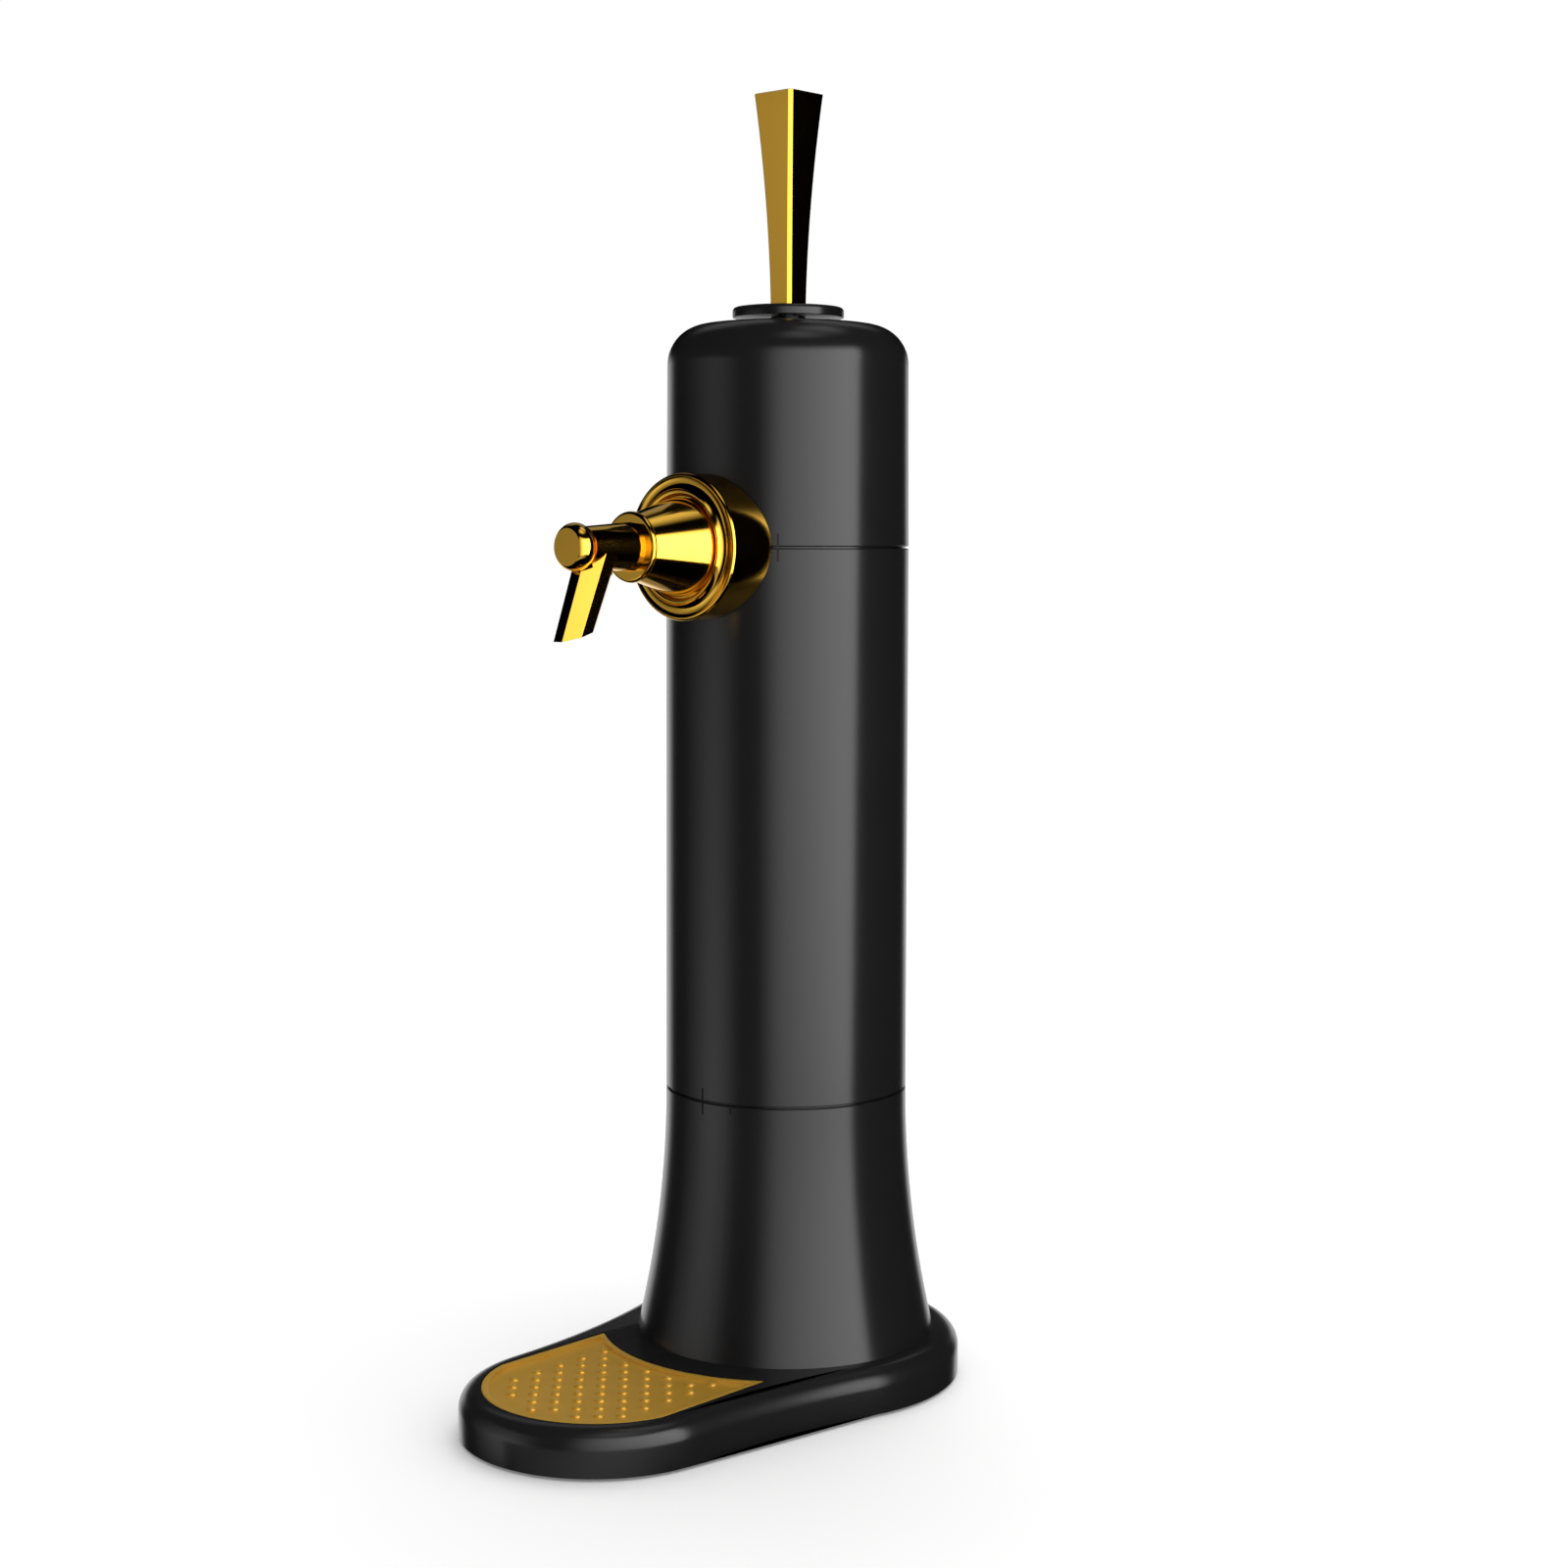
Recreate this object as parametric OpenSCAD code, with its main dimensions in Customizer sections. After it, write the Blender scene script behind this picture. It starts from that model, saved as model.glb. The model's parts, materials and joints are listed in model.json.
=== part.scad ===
// Table-top beer tower with a battery air pump and a foaming tap.
// A domed head lifts off a barrel that holds the can or bottle, the barrel twists
// off a flared pedestal, and the pedestal stands on a pear-shaped plinth with a drip tray.
// Front is -Y. The origin is on the table, under the middle of the plinth.

/* [Plinth] */
// Radius of the rear lobe, which is centred on the tower
rear_lobe_r = 67.4; // [64:0.2:80]
// Radius of the front lobe, under the tap
front_lobe_r = 51.6; // [49:0.2:60]
// Distance from the tower's axis to the centre of the front lobe
lobe_gap = 98.8; // [96:0.4:120]
// Radius of the hollow waist between the two lobes
waist_r = 282; // [200:2:500]
// Height of the plinth's top face above the table
base_top = 18; // [16:0.5:26]
// Rounding of the plinth's top edge
base_round = 7.4; // [5:0.2:7.6]
// Side wall of the plinth cover
base_wall = 2.4; // [1.8:0.1:3]
// Roof of the plinth cover under the tower
base_roof = 2.4; // [1.8:0.1:3]
// Thickness of the bottom plate
plate_t = 2.6; // [2.2:0.1:4]
// Height of the rubber feet under the plinth
foot_h = 1.2; // [0.8:0.1:2]
// Radius of a rubber foot
foot_r = 7; // [5:0.5:9]

/* [Drip tray] */
// Distance from the plinth's front edge to the tray's front arc
tray_edge = 8.2; // [8:0.1:10]
// Distance from the front lobe's side to the tray's straight side
tray_side = 9.6; // [9.4:0.2:14]
// Radius of the tray's hollow rear edge, about the tower's axis
tray_back_r = 71; // [66:0.5:76]
// Width of the tray's raised rim
tray_rim = 2.4; // [1.5:0.1:4]
// Depth of the tray below its rim
tray_depth = 1.4; // [0.8:0.1:2.4]
// Thickness of the tray's floor
tray_t = 1.4; // [0.8:0.1:2]

/* [Tower] */
// Outer radius at the upper seam
tower_r = 46; // [45:0.5:52]
// How much the barrel widens down to the lower seam
barrel_draft = 0.3; // [0:0.1:1]
// How much the head narrows up to its shoulder
head_draft = 0.5; // [0:0.1:1]
// Height of the lower seam, between pedestal and barrel
lower_seam_z = 113.1; // [100:0.5:130]
// Height of the upper seam, between barrel and head, level with the tap
upper_seam_z = 319.6; // [300:0.5:340]
// Height of the head's crown
crown_z = 404.6; // [402:0.2:420]
// Rounding of the head's shoulder
shoulder_r = 15; // [10:0.5:18]
// Radius of the gentle crown
crown_r = 270; // [180:5:400]
// Radius of the pedestal at its foot
flare_foot_r = 57.4; // [55:0.2:58.6]
// Gap that shows as a dark line at each seam
seam_gap = 0.6; // [0.4:0.1:1]
// Chamfer of the two edges that meet at each seam
seam_edge = 0.4; // [0.2:0.1:0.6]
// Thickness of the hidden lip behind each seam, which keeps light out
lip_t = 1.4; // [1:0.1:1.6]
// How far that lip reaches past the seam
lip_h = 1.5; // [1:0.1:2.5]
// Wall of pedestal, barrel and head
wall = 2.6; // [2:0.1:3]

/* [Bottle chamber] */
// Inner radius of the cup that holds the can or bottle
cup_r = 37.6; // [36:0.1:38]
// Wall of the cup
cup_wall = 2; // [1.5:0.1:2.2]
// Thickness of the rubber pad in the cup
pad_t = 4.6; // [3:0.1:8]
// Angle of the twist between barrel and pedestal
twist_angle = 16; // [10:1:24]
// Angle that one bayonet lug covers
lug_angle = 14; // [10:1:18]
// Height of one bayonet lug
lug_h = 4; // [3:0.1:5]
// Height of the bayonet spigot above the lower seam
spigot_h = 13; // [11.5:0.5:18]

/* [Head insides] */
// How far the bulkhead that closes the bottle chamber lies below the upper seam
bulk_drop = 21.6; // [19.6:0.2:29.6]
// Thickness of the bulkhead
bulk_t = 3; // [2.4:0.1:4]
// Thickness of the sealing ring under the bulkhead
seal_t = 1.5; // [1:0.1:2.5]
// Height of the chassis ring above the upper seam
ring_rise = 14; // [11:0.5:18]
// Radius of one battery cell
cell_r = 7.25; // [7:0.05:7.4]
// Length of one battery cell
cell_l = 50.5; // [49:0.1:52]
// Radius of the pump's body
pump_r = 13.5; // [12.5:0.1:13.8]
// Height of the pump's body
pump_h = 18; // [16:0.5:22]
// Radius of the pump's motor
motor_r = 12; // [9:0.5:12.4]
// Length of the pump's motor
motor_l = 30; // [24:0.5:34]
// Outer radius of the dip tube
dip_r = 3.5; // [3:0.1:3.6]

/* [Tap] */
// Radius of the round flange on the tower
flange_r = 26.85; // [25:0.05:30]
// Distance from the tower's axis to the flange's front rim
flange_front = 57.8; // [56:0.2:62]
// Radius of the cone at its base
cone_base_r = 18; // [16:0.1:18.6]
// Radius of the cone at its nose
cone_nose_r = 11.6; // [10:0.1:12]
// Length of the cone in front of the flange's rim
cone_l = 23.6; // [20:0.2:28]
// Radius of the thin collar ring in front of the cone
collar_r = 12.75; // [12.4:0.05:14]
// Width of the collar ring
collar_w = 2.5; // [2:0.1:4]
// Radius of the tube behind the nozzle
tube_r = 8.9; // [8.2:0.1:10]
// Radius of the tube at the end cap
tube_end_r = 7.25; // [6.8:0.05:8]
// Length of the tube in front of the collar
tube_l = 22.2; // [20:0.2:28]
// Radius of the round end cap
cap_r = 8.55; // [8.2:0.05:10]
// Radius of the end cap's flat face
cap_face_r = 6.6; // [6:0.1:7]
// Length of the end cap
cap_l = 7.6; // [6.5:0.1:9]
// Radius of the beer passage
beer_r = 4; // [3:0.1:4.4]
// Radius of the threaded shank through the wall
shank_r = 8; // [7:0.1:9]

/* [Nozzle] */
// Width of the nozzle across its front and side faces, at the tube
nozzle_w = 14.4; // [13:0.1:15]
// Width of the nozzle across its corner faces, at the tube
nozzle_corner_w = 13.6; // [12.4:0.1:15]
// Width at the outlet as a share of the width at the tube
nozzle_taper = 0.91; // [0.8:0.01:1]
// Forward lean of the nozzle
nozzle_lean = 21.7; // [10:0.1:25]
// Slope of the outlet, which is lowest at the front
outlet_slope = 17; // [0:1:20]
// Length of the nozzle from the tube's underside along its axis
nozzle_l = 23; // [18:0.5:28]
// Radius of the nozzle's passage
nozzle_bore_r = 3.2; // [2.4:0.1:3.6]

/* [Handle] */
// Width of the square handle at its foot
handle_foot_w = 10.6; // [10:0.1:12]
// Width of the square handle at its top
handle_top_w = 19.3; // [16:0.1:24]
// Height of the handle
handle_h = 78; // [60:1:100]
// How far the handle's sides bow inwards
handle_bow = 0.8; // [0.3:0.1:2]
// Width that each corner of the handle loses to its bevel
handle_bevel = 1.3; // [0.8:0.1:2]
// Lean of the handle to each side of upright
tilt_angle = 10; // [4:1:10]
// Depth of the lever's pivot below the crown
pivot_drop = 19.6; // [17:0.2:22]
// Radius of the lever's stem
stem_r = 3; // [2.4:0.1:3.2]
// Radius of the pivot pin
pin_r = 2; // [1.5:0.1:2.5]
// Radius of the sliding cover under the handle
cover_r = 21; // [19:0.2:24]
// Radius of the sliding cover's top, inside its bevel
cover_top_r = 16.5; // [12:0.1:18]
// Height of the sliding cover
cover_h = 4.7; // [4.2:0.1:6]

/* [Hidden] */
$fn = 96;

// Clearance between pieces fixed together, between pieces that move, and round a pin
slip = 0.1;
run = 0.3;
pin_run = 0.05;
// Reach of a cutting tool past the face that it cuts
over = 1;

black = "#1d1d1f";
dark = "#2b2b2d";
gold = "#b8903c";
rubber = "#141414";
steel = "#b9bcc0";
white = "#e4e2da";
green = "#2e6b3c";
red = "#b3402e";

// Plinth: the tower stands this far behind the middle, and the waist arcs touch both lobes
tower_y = (lobe_gap + front_lobe_r - rear_lobe_r) / 2;
waist_a = rear_lobe_r + waist_r;
waist_b = front_lobe_r + waist_r;
waist_y = -(waist_a * waist_a - waist_b * waist_b + lobe_gap * lobe_gap) / (2 * lobe_gap);
waist_x = sqrt(waist_a * waist_a - waist_y * waist_y);
rear_turn = atan2(waist_y, waist_x);
front_turn = atan2(waist_y + lobe_gap, waist_x);
rear_steps = 60;
front_steps = 48;
waist_steps = 10;
round_steps = 8;
shoulder_wall = 6;
plate_top = foot_h + plate_t;
foot_sink = 0.6;
rear_foot = [42, 30];
front_foot = [22, -lobe_gap - 24];
boss_r = 3.6;
screw_r = 1.4;
screw_head_r = 2.7;
screw_head_h = 1.6;
base_screw_l = 8;
rear_screw = [24, 50];
front_screw = [36, -lobe_gap + 6];
tip_gap = 0.5;
tray_arc_r = front_lobe_r - tray_edge;
tray_half = front_lobe_r - tray_side;
pocket_floor = base_top - tray_depth - tray_t;
pocket_wall = 2;

// Pedestal
pedestal_r = tower_r + barrel_draft;
pedestal_top = lower_seam_z - seam_gap / 2;
flare_rise = lower_seam_z - base_top;
flare_out = flare_foot_r - pedestal_r;
flare_arc_r = (flare_rise * flare_rise + flare_out * flare_out) / (2 * flare_out);
foot_ring_t = 2.4;
cup_out_r = cup_r + cup_wall;
boss_gap = 4;
pedestal_screw_r = cup_out_r + boss_r + boss_gap;
pedestal_boss_h = 8;
pedestal_screw_l = 8;
pad_lip = 4;
pad_dish = 1.2;

// Bayonet between pedestal and barrel
barrel_in_r = tower_r - wall;
upper_lip_r = barrel_in_r + lip_t;
lower_lip_r = pedestal_r - wall + lip_t;
liner_out_r = barrel_in_r - slip;
liner_t = 2.6;
liner_in_r = liner_out_r - liner_t;
spigot_out_r = liner_in_r - run;
lug_reach = 2;
lug_in_r = liner_in_r - lug_reach;
groove_r = lug_in_r - run;
ring_flange_t = 2;
ledge_t = 2.5;
ledge_top = lower_seam_z - ring_flange_t;
ledge_z = ledge_top - ledge_t;
lug_rise = 3.6;
lug_z = lower_seam_z + lug_rise;
lug_angles = [30, 150, 270];
lug_play_angle = 0.8;
lug_ring_rise = 2.2;
lug_ring_h = spigot_h + lug_ring_rise;
ring_screw_at = (cup_out_r + pedestal_r - wall) / 2;
ring_screw_r = 0.9;
ring_screw_head_r = 1.5;
ring_screw_head_h = 1.4;
ring_skin = 0.4;
ring_screw_tip = 0.6;
liner_z = lower_seam_z + lug_ring_h + slip;
bulk_z = upper_seam_z - bulk_drop;
liner_top = bulk_z - seal_t;
bottle_z = base_top + cup_wall + pad_t;

// Head
head_z = upper_seam_z + seam_gap / 2;
barrel_top = upper_seam_z - seam_gap / 2;
shoulder_side_r = tower_r - head_draft;
shoulder_x = shoulder_side_r - shoulder_r;
shoulder_reach = crown_r - shoulder_r;
shoulder_z = crown_z - crown_r + sqrt(shoulder_reach * shoulder_reach - shoulder_x * shoulder_x);
shoulder_lean = asin(shoulder_x / shoulder_reach);
chassis_r = barrel_in_r - run;
chassis_ring_t = 2.4;
chassis_in_r = chassis_r - chassis_ring_t;
chassis_top = upper_seam_z + ring_rise;
bulk_top = bulk_z + bulk_t;
hook_reach = 1;
hook_h = 3;
hook_angle = 8;
hook_play_angle = 1;
hook_drop = 7;
hook_z = chassis_top - hook_drop;
hook_angles = [60, 120];

// Batteries stand in an arc behind the beer line
cell_ring_r = 31;
cell_angle = 30;
cell_angles = [for (i = [0:3]) 90 + (i - 1.5) * cell_angle];
holder_wall = 2.6;
holder_in_r = cell_ring_r - cell_r - holder_wall;
holder_out_r = chassis_in_r - run;
holder_angle = 127;
door_edge = 1;
door_end = 2;
door_gap = 1;
cell_cap_r = 2.6;
cell_cap_h = 1;
spring_h = 2.4;
contact_t = 0.4;
contact_r = 4;
contact_tip_r = 2;
cell_z = bulk_top + spring_h;
holder_roof = 2.4;
holder_top = cell_z + cell_l + contact_t + holder_roof;

// Pump, beer elbow, foam transducer and circuit board on the bulkhead
pump_at = [-26, -4];
motor_z = bulk_top + pump_h;
hose_r = 2.6;
nipple_r = 1.5;
nipple_l = 3;
hose_bend = 6.5;
hose_rise = 9;
hose_z = bulk_top + hose_rise;
nipple_bore_r = 0.8;
nipple_down = 3;
nipple_up = 2;
motor_boss_r = 4;
motor_boss_h = 2;
tag_at = 6;
tag_w = 2.4;
tag_t = 0.8;
tag_h = 4;
rib_w = 1.6;
rib_depth = 0.8;
hose_y = pump_at.y - pump_r - nipple_l - hose_bend;
elbow_r = 4.6;
elbow_bore_r = 2.6;
elbow_foot_r = 7;
elbow_foot_t = 2;
elbow_drop = 8;
elbow_low = bulk_z - elbow_drop;
elbow_plug_l = 5;
dip_socket = 8;
dip_wall = 1;
dip_bore_r = dip_r - dip_wall;
dip_gap = 4;
dip_low = bottle_z + dip_gap;
transducer_r = 9;
transducer_t = 3;
transducer_step = 2.5;
transducer_step_t = 0.8;
saddle_r = 6.5;
saddle_out = 1.2;
saddle_t = 1.6;
saddle_neck_r = 3.6;
saddle_y = elbow_r + saddle_out;
board_x = 28;
board_t = 1.6;
board_y = -24;
board_w = 31;
board_h = 48;

// Tap: distances are measured forwards from the tower's axis
tap_z = upper_seam_z;
saddle_gap = barrel_draft + run;
flange_edge = 1.2;
dish_in = 3.25;
dish_r = flange_r - dish_in;
dish_arc = 3.4;
dish_depth = 0.7;
bead_gap = 2.2;
bead_r = cone_base_r + bead_gap;
bead_w = 1.7;
bead_sink = 0.2;
seat_depth = 1.6;
cone_seat = flange_front - seat_depth;
cone_step = 2;
cone_front = flange_front + cone_l;
collar_front = cone_front + collar_w;
tube_front = collar_front + tube_l;
cap_front = tube_front + cap_l;
shank_back = 33;
nut_w = 21;
nut_h = 5;
nut_r = nut_w / sqrt(3);
nut_front = sqrt(chassis_in_r * chassis_in_r - nut_r * nut_r) - slip;
spigot_r = 6;
spigot_l = 10;
tube_end_t = 2;
tube_bore_front = tube_front - tube_end_t;
cap_bulge = cap_r - cap_face_r;
cap_edge_r = (cap_bulge * cap_bulge + cap_l * cap_l / 4) / (2 * cap_bulge);

// Nozzle: its axis leaves the tube's underside here
nozzle_back = 4.2;
nozzle_drop = 0.2;
nozzle_f = tube_front - nozzle_back;
nozzle_z = tap_z - tube_r - nozzle_drop;
plug_wall = 1;
plug_l = 6;
plug_room = 2;
nozzle_plug_r = nozzle_bore_r + plug_wall;

// Lever, its bracket and its two switches under the crown
pivot_z = crown_z - pivot_drop;
cheek_in = 9;
cheek_t = 2.4;
cheek_r = 6;
bracket_drop = 21;
bracket_z = pivot_z - bracket_drop;
bracket_t = 2.4;
bracket_w = 34;
bracket_d = 40;
bracket_top = bracket_z + bracket_t;
post_at = [13, 16];
post_r = 3.2;
post_sink = 0.8;
bracket_screw_l = 9;
hub_r = 6.4;
tail_t = 4;
tail_w = 8;
tail_drop = 12;
switch_drop = 8;
switch_l = 12.8;
switch_h = 6;
switch_d = 6.5;
plunger_r = 1.2;
plunger_out = 3;
plunger_in = 3.2;
plunger_gap = 0.15;
switch_back = 0.6;
pin_fit = 0.02;
plunger_face = tail_t / 2 + plunger_gap;
switch_face = plunger_face + plunger_out;
slot_play = 0.4;
slot_end = 0.6;
slot_w = stem_r + slot_play;
slot_l = pivot_drop * tan(tilt_angle) + stem_r + slot_end;
cover_gap = 0.5;
cover_z = crown_z + cover_gap;
cover_edge = 2.9;
cover_play = 0.9;
cover_hole_r = stem_r + cover_play;
dish_play = 1.45;
cover_dish_r = handle_foot_w / sqrt(2) + dish_play;
cover_dish = 1.6;
handle_gap = 0.2;
handle_z = cover_z + cover_h + handle_gap;
handle_steps = 12;
stud_l = 18;
pin_head_r = 3;
pin_head_t = 1;

// Moves a piece built round the tower's axis to its place behind the middle of the plinth
module place() translate([0, tower_y, 0]) children();

// Turns a profile drawn as radius and forward distance about the tap's axis
module tap_turn() translate([0, 0, tap_z]) rotate([90, 0, 0]) rotate_extrude() children();

// A ring with square edges
module ring(r_in, r_out, low, high) {
    rotate_extrude() translate([r_in, low]) square([r_out - r_in, high - low]);
}

// A stretch of such a ring, from one angle over a sweep
module ring_part(r_in, r_out, low, high, from, sweep) {
    rotate([0, 0, from]) rotate_extrude(angle = sweep)
        translate([r_in, low]) square([r_out - r_in, high - low]);
}

// A pan-head screw pointing up, with the underside of its head at z = 0
module screw(r, l, head_r, head_h) {
    cylinder(r = r, h = l);
    translate([0, 0, -head_h]) cylinder(r = head_r, h = head_h);
}

// Point where a waist arc touches a lobe of radius r centred at y = y0
function touch(r, y0, reach) = [waist_x * r / reach, y0 + (waist_y - y0) * r / reach];

// The plinth's pear-shaped plan, drawn in by inset on every side, as an upright solid
module plan_solid(inset, low, high) {
    rear = touch(rear_lobe_r - inset, 0, waist_a);
    front = touch(front_lobe_r - inset, -lobe_gap, waist_b);
    translate([0, 0, low]) {
        cylinder(r = rear_lobe_r - inset, h = high - low);
        translate([0, -lobe_gap, 0]) cylinder(r = front_lobe_r - inset, h = high - low);
        linear_extrude(high - low) difference() {
            polygon([[0, 0], rear, front, [0, -lobe_gap], [-front.x, front.y], [-rear.x, rear.y]]);
            for (side = [-1, 1]) translate([side * waist_x, waist_y]) circle(waist_r + inset, $fn = 720);
        }
    }
}

// Points along an arc, without its last one
function arc_points(centre, r, from, to, steps) = [for (i = [0:steps - 1])
    let (a = from + (to - from) * i / steps) [centre.x + r * cos(a), centre.y + r * sin(a)]];

// The same plan as a line of points: rear lobe, waist, front lobe, waist
function outline(inset) = concat(
    arc_points([0, 0], rear_lobe_r - inset, rear_turn, 180 - rear_turn, rear_steps),
    arc_points([-waist_x, waist_y], waist_r + inset, -rear_turn, -front_turn, waist_steps),
    arc_points([0, -lobe_gap], front_lobe_r - inset, 180 - front_turn, 360 + front_turn, front_steps),
    arc_points([waist_x, waist_y], waist_r + inset, 180 + front_turn, 180 + rear_turn, waist_steps));

// Outer form of the plinth: upright sides, then rings that follow the rounding to the flat top
module plinth_form() {
    count = rear_steps + front_steps + 2 * waist_steps;
    turns = [for (i = [0:round_steps]) 90 * i / round_steps];
    insets = concat([0], [for (a = turns) base_round * (1 - cos(a))]);
    heights = concat([foot_h], [for (a = turns) base_top - base_round * (1 - sin(a))]);
    last = len(insets) - 1;
    polyhedron(
        points = [for (k = [0:last]) for (p = outline(insets[k])) [p.x, p.y, heights[k]]],
        faces = concat(
            [[for (i = [0:count - 1]) i]],
            [for (k = [0:last - 1]) for (i = [0:count - 1]) let (j = (i + 1) % count)
                [k * count + i, (k + 1) * count + i, (k + 1) * count + j, k * count + j]],
            [[for (i = [count - 1:-1:0]) last * count + i]]));
}

// The tray's outline, grown by grow on every side
module tray_plan(grow) {
    half = tray_half + grow;
    difference() {
        union() {
            intersection() {
                translate([0, -lobe_gap]) circle(tray_arc_r + grow);
                translate([-half, -lobe_gap - tray_arc_r - grow - over])
                    square([2 * half, tray_arc_r + grow + over]);
            }
            translate([-half, -lobe_gap]) square([2 * half, lobe_gap]);
        }
        circle(tray_back_r - grow);
    }
}

module at_base_screws() {
    for (side = [-1, 1]) {
        translate([side * rear_screw.x, rear_screw.y, 0]) children();
        translate([side * front_screw.x, front_screw.y, 0]) children();
    }
}

module at_feet() {
    for (side = [-1, 1]) {
        translate([side * rear_foot.x, rear_foot.y, 0]) children();
        translate([side * front_foot.x, front_foot.y, 0]) children();
    }
}

module at_pedestal_screws() {
    for (a = [45:90:315]) rotate([0, 0, a]) translate([pedestal_screw_r, 0, 0]) children();
}

module at_ring_screws() {
    for (a = [0:90:270]) rotate([0, 0, a]) translate([ring_screw_at, 0, 0]) children();
}

// Moulded cover of the plinth, hollow below, with the pocket for the tray
module base_cover() {
    roof_r = rear_lobe_r - shoulder_wall - over;
    color(black) place() difference() {
        plinth_form();
        difference() {
            union() {
                plan_solid(base_wall, foot_h - over, base_top - base_round);
                plan_solid(shoulder_wall, foot_h, pocket_floor - pocket_wall);
                translate([0, 0, foot_h]) cylinder(r = roof_r, h = base_top - base_roof - foot_h);
            }
            translate([0, 0, plate_top]) at_base_screws() cylinder(r = boss_r, h = base_top);
        }
        translate([0, 0, pocket_floor]) linear_extrude(base_top) tray_plan(run);
        translate([0, 0, foot_h]) {
            at_base_screws() cylinder(r = screw_r + pin_run, h = screw_head_h + base_screw_l + tip_gap);
            at_pedestal_screws() cylinder(r = screw_r + slip, h = base_top);
        }
    }
}

// Flat plate that closes the plinth from below
module base_plate() {
    color(dark) place() difference() {
        plan_solid(base_wall + slip, foot_h, plate_top);
        at_feet() cylinder(r = foot_r + slip, h = foot_h + foot_sink);
        at_base_screws() {
            cylinder(r = screw_head_r + slip, h = foot_h + screw_head_h);
            cylinder(r = screw_r + slip, h = plate_top + over);
        }
    }
}

// Four rubber feet let into the bottom plate
module rubber_feet() {
    color(rubber) place() at_feet() cylinder(r = foot_r, h = foot_h + foot_sink);
}

// Screws that hold the bottom plate to the cover
module base_screws() {
    color(steel) place() translate([0, 0, foot_h + screw_head_h]) at_base_screws()
        screw(screw_r, base_screw_l, screw_head_r, screw_head_h);
}

// Shallow tray that lifts out of the plinth
module drip_tray() {
    color(gold) place() difference() {
        translate([0, 0, pocket_floor]) linear_extrude(base_top - pocket_floor) tray_plan(0);
        translate([0, 0, base_top - tray_depth]) linear_extrude(base_top) tray_plan(-tray_rim);
    }
}

// Flared shell between plinth and barrel
module pedestal() {
    color(black) place() difference() {
        union() {
            rotate_extrude() {
                difference() {
                    intersection() {
                        translate([0, base_top]) square([flare_foot_r, pedestal_top - base_top]);
                        translate([pedestal_r + flare_arc_r, lower_seam_z]) difference() {
                            circle(flare_arc_r + wall, $fn = 360);
                            circle(flare_arc_r, $fn = 360);
                        }
                    }
                    translate([pedestal_r - seam_edge, pedestal_top])
                        polygon([[0, 0], [2 * over, -2 * over], [2 * over, over], [0, over]]);
                }
                translate([cup_out_r + run, base_top])
                    square([flare_foot_r - wall / 2 - cup_out_r - run, foot_ring_t]);
                translate([cup_r, ledge_z]) square([pedestal_r - wall / 2 - cup_r, ledge_t]);
                translate([lower_lip_r - lip_t + slip, pedestal_top - over])
                    square([lip_t - slip, over + seam_gap + lip_h]);
            }
            translate([0, 0, base_top]) at_pedestal_screws()
                cylinder(r = boss_r, h = pedestal_boss_h);
        }
        translate([0, 0, base_top - over]) at_pedestal_screws()
            cylinder(r = screw_r + pin_run, h = pedestal_screw_l + over);
        translate([0, 0, ledge_z - over]) at_ring_screws()
            cylinder(r = ring_screw_r + pin_run, h = ledge_t + 2 * over);
    }
}

// Screws up through the plinth's roof into the pedestal
module pedestal_screws() {
    color(steel) place() translate([0, 0, base_top - base_roof]) at_pedestal_screws()
        screw(screw_r, pedestal_screw_l, screw_head_r, screw_head_h);
}

// Cup inside the pedestal that holds the foot of the can or bottle
module bottle_cup() {
    color(dark) place() difference() {
        translate([0, 0, base_top]) cylinder(r = cup_out_r, h = ledge_z - slip - base_top);
        translate([0, 0, base_top + cup_wall]) cylinder(r = cup_r, h = ledge_z);
    }
}

// Soft pad in the cup, dished so that a can stands in its middle
module bottle_pad() {
    pad_r = cup_r - slip;
    color(rubber) place() rotate_extrude() translate([0, base_top + cup_wall]) polygon([
        [0, 0], [pad_r, 0], [pad_r, pad_t], [pad_r - pad_lip, pad_t],
        [pad_r - pad_lip - pad_dish, pad_t - pad_dish], [0, pad_t - pad_dish]]);
}

// Bayonet spigot screwed to the pedestal, with an L-shaped groove for each lug
module locking_ring() {
    groove_low = lug_z - run;
    groove_high = lug_z + lug_h + run;
    top = lower_seam_z + spigot_h;
    color(dark) place() difference() {
        union() {
            ring(cup_r, pedestal_r - wall - run, ledge_top, lower_seam_z);
            ring(cup_r, spigot_out_r, lower_seam_z, top);
        }
        for (a = lug_angles) {
            start = a - lug_angle / 2 - lug_play_angle;
            sweep = lug_angle + 2 * lug_play_angle;
            ring_part(groove_r, liner_in_r, groove_low, groove_high, start, twist_angle);
            ring_part(groove_r, liner_in_r, groove_low, top + over, start + twist_angle, sweep);
        }
        translate([0, 0, ledge_top - over]) at_ring_screws()
            cylinder(r = ring_screw_r + pin_run, h = ring_flange_t + over - ring_skin);
    }
}

// Small screws up through the pedestal's ledge into the locking ring
module ring_screws() {
    color(steel) place() translate([0, 0, ledge_z]) at_ring_screws()
        screw(ring_screw_r, ledge_t + ring_flange_t - ring_screw_tip, ring_screw_head_r, ring_screw_head_h);
}

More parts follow.
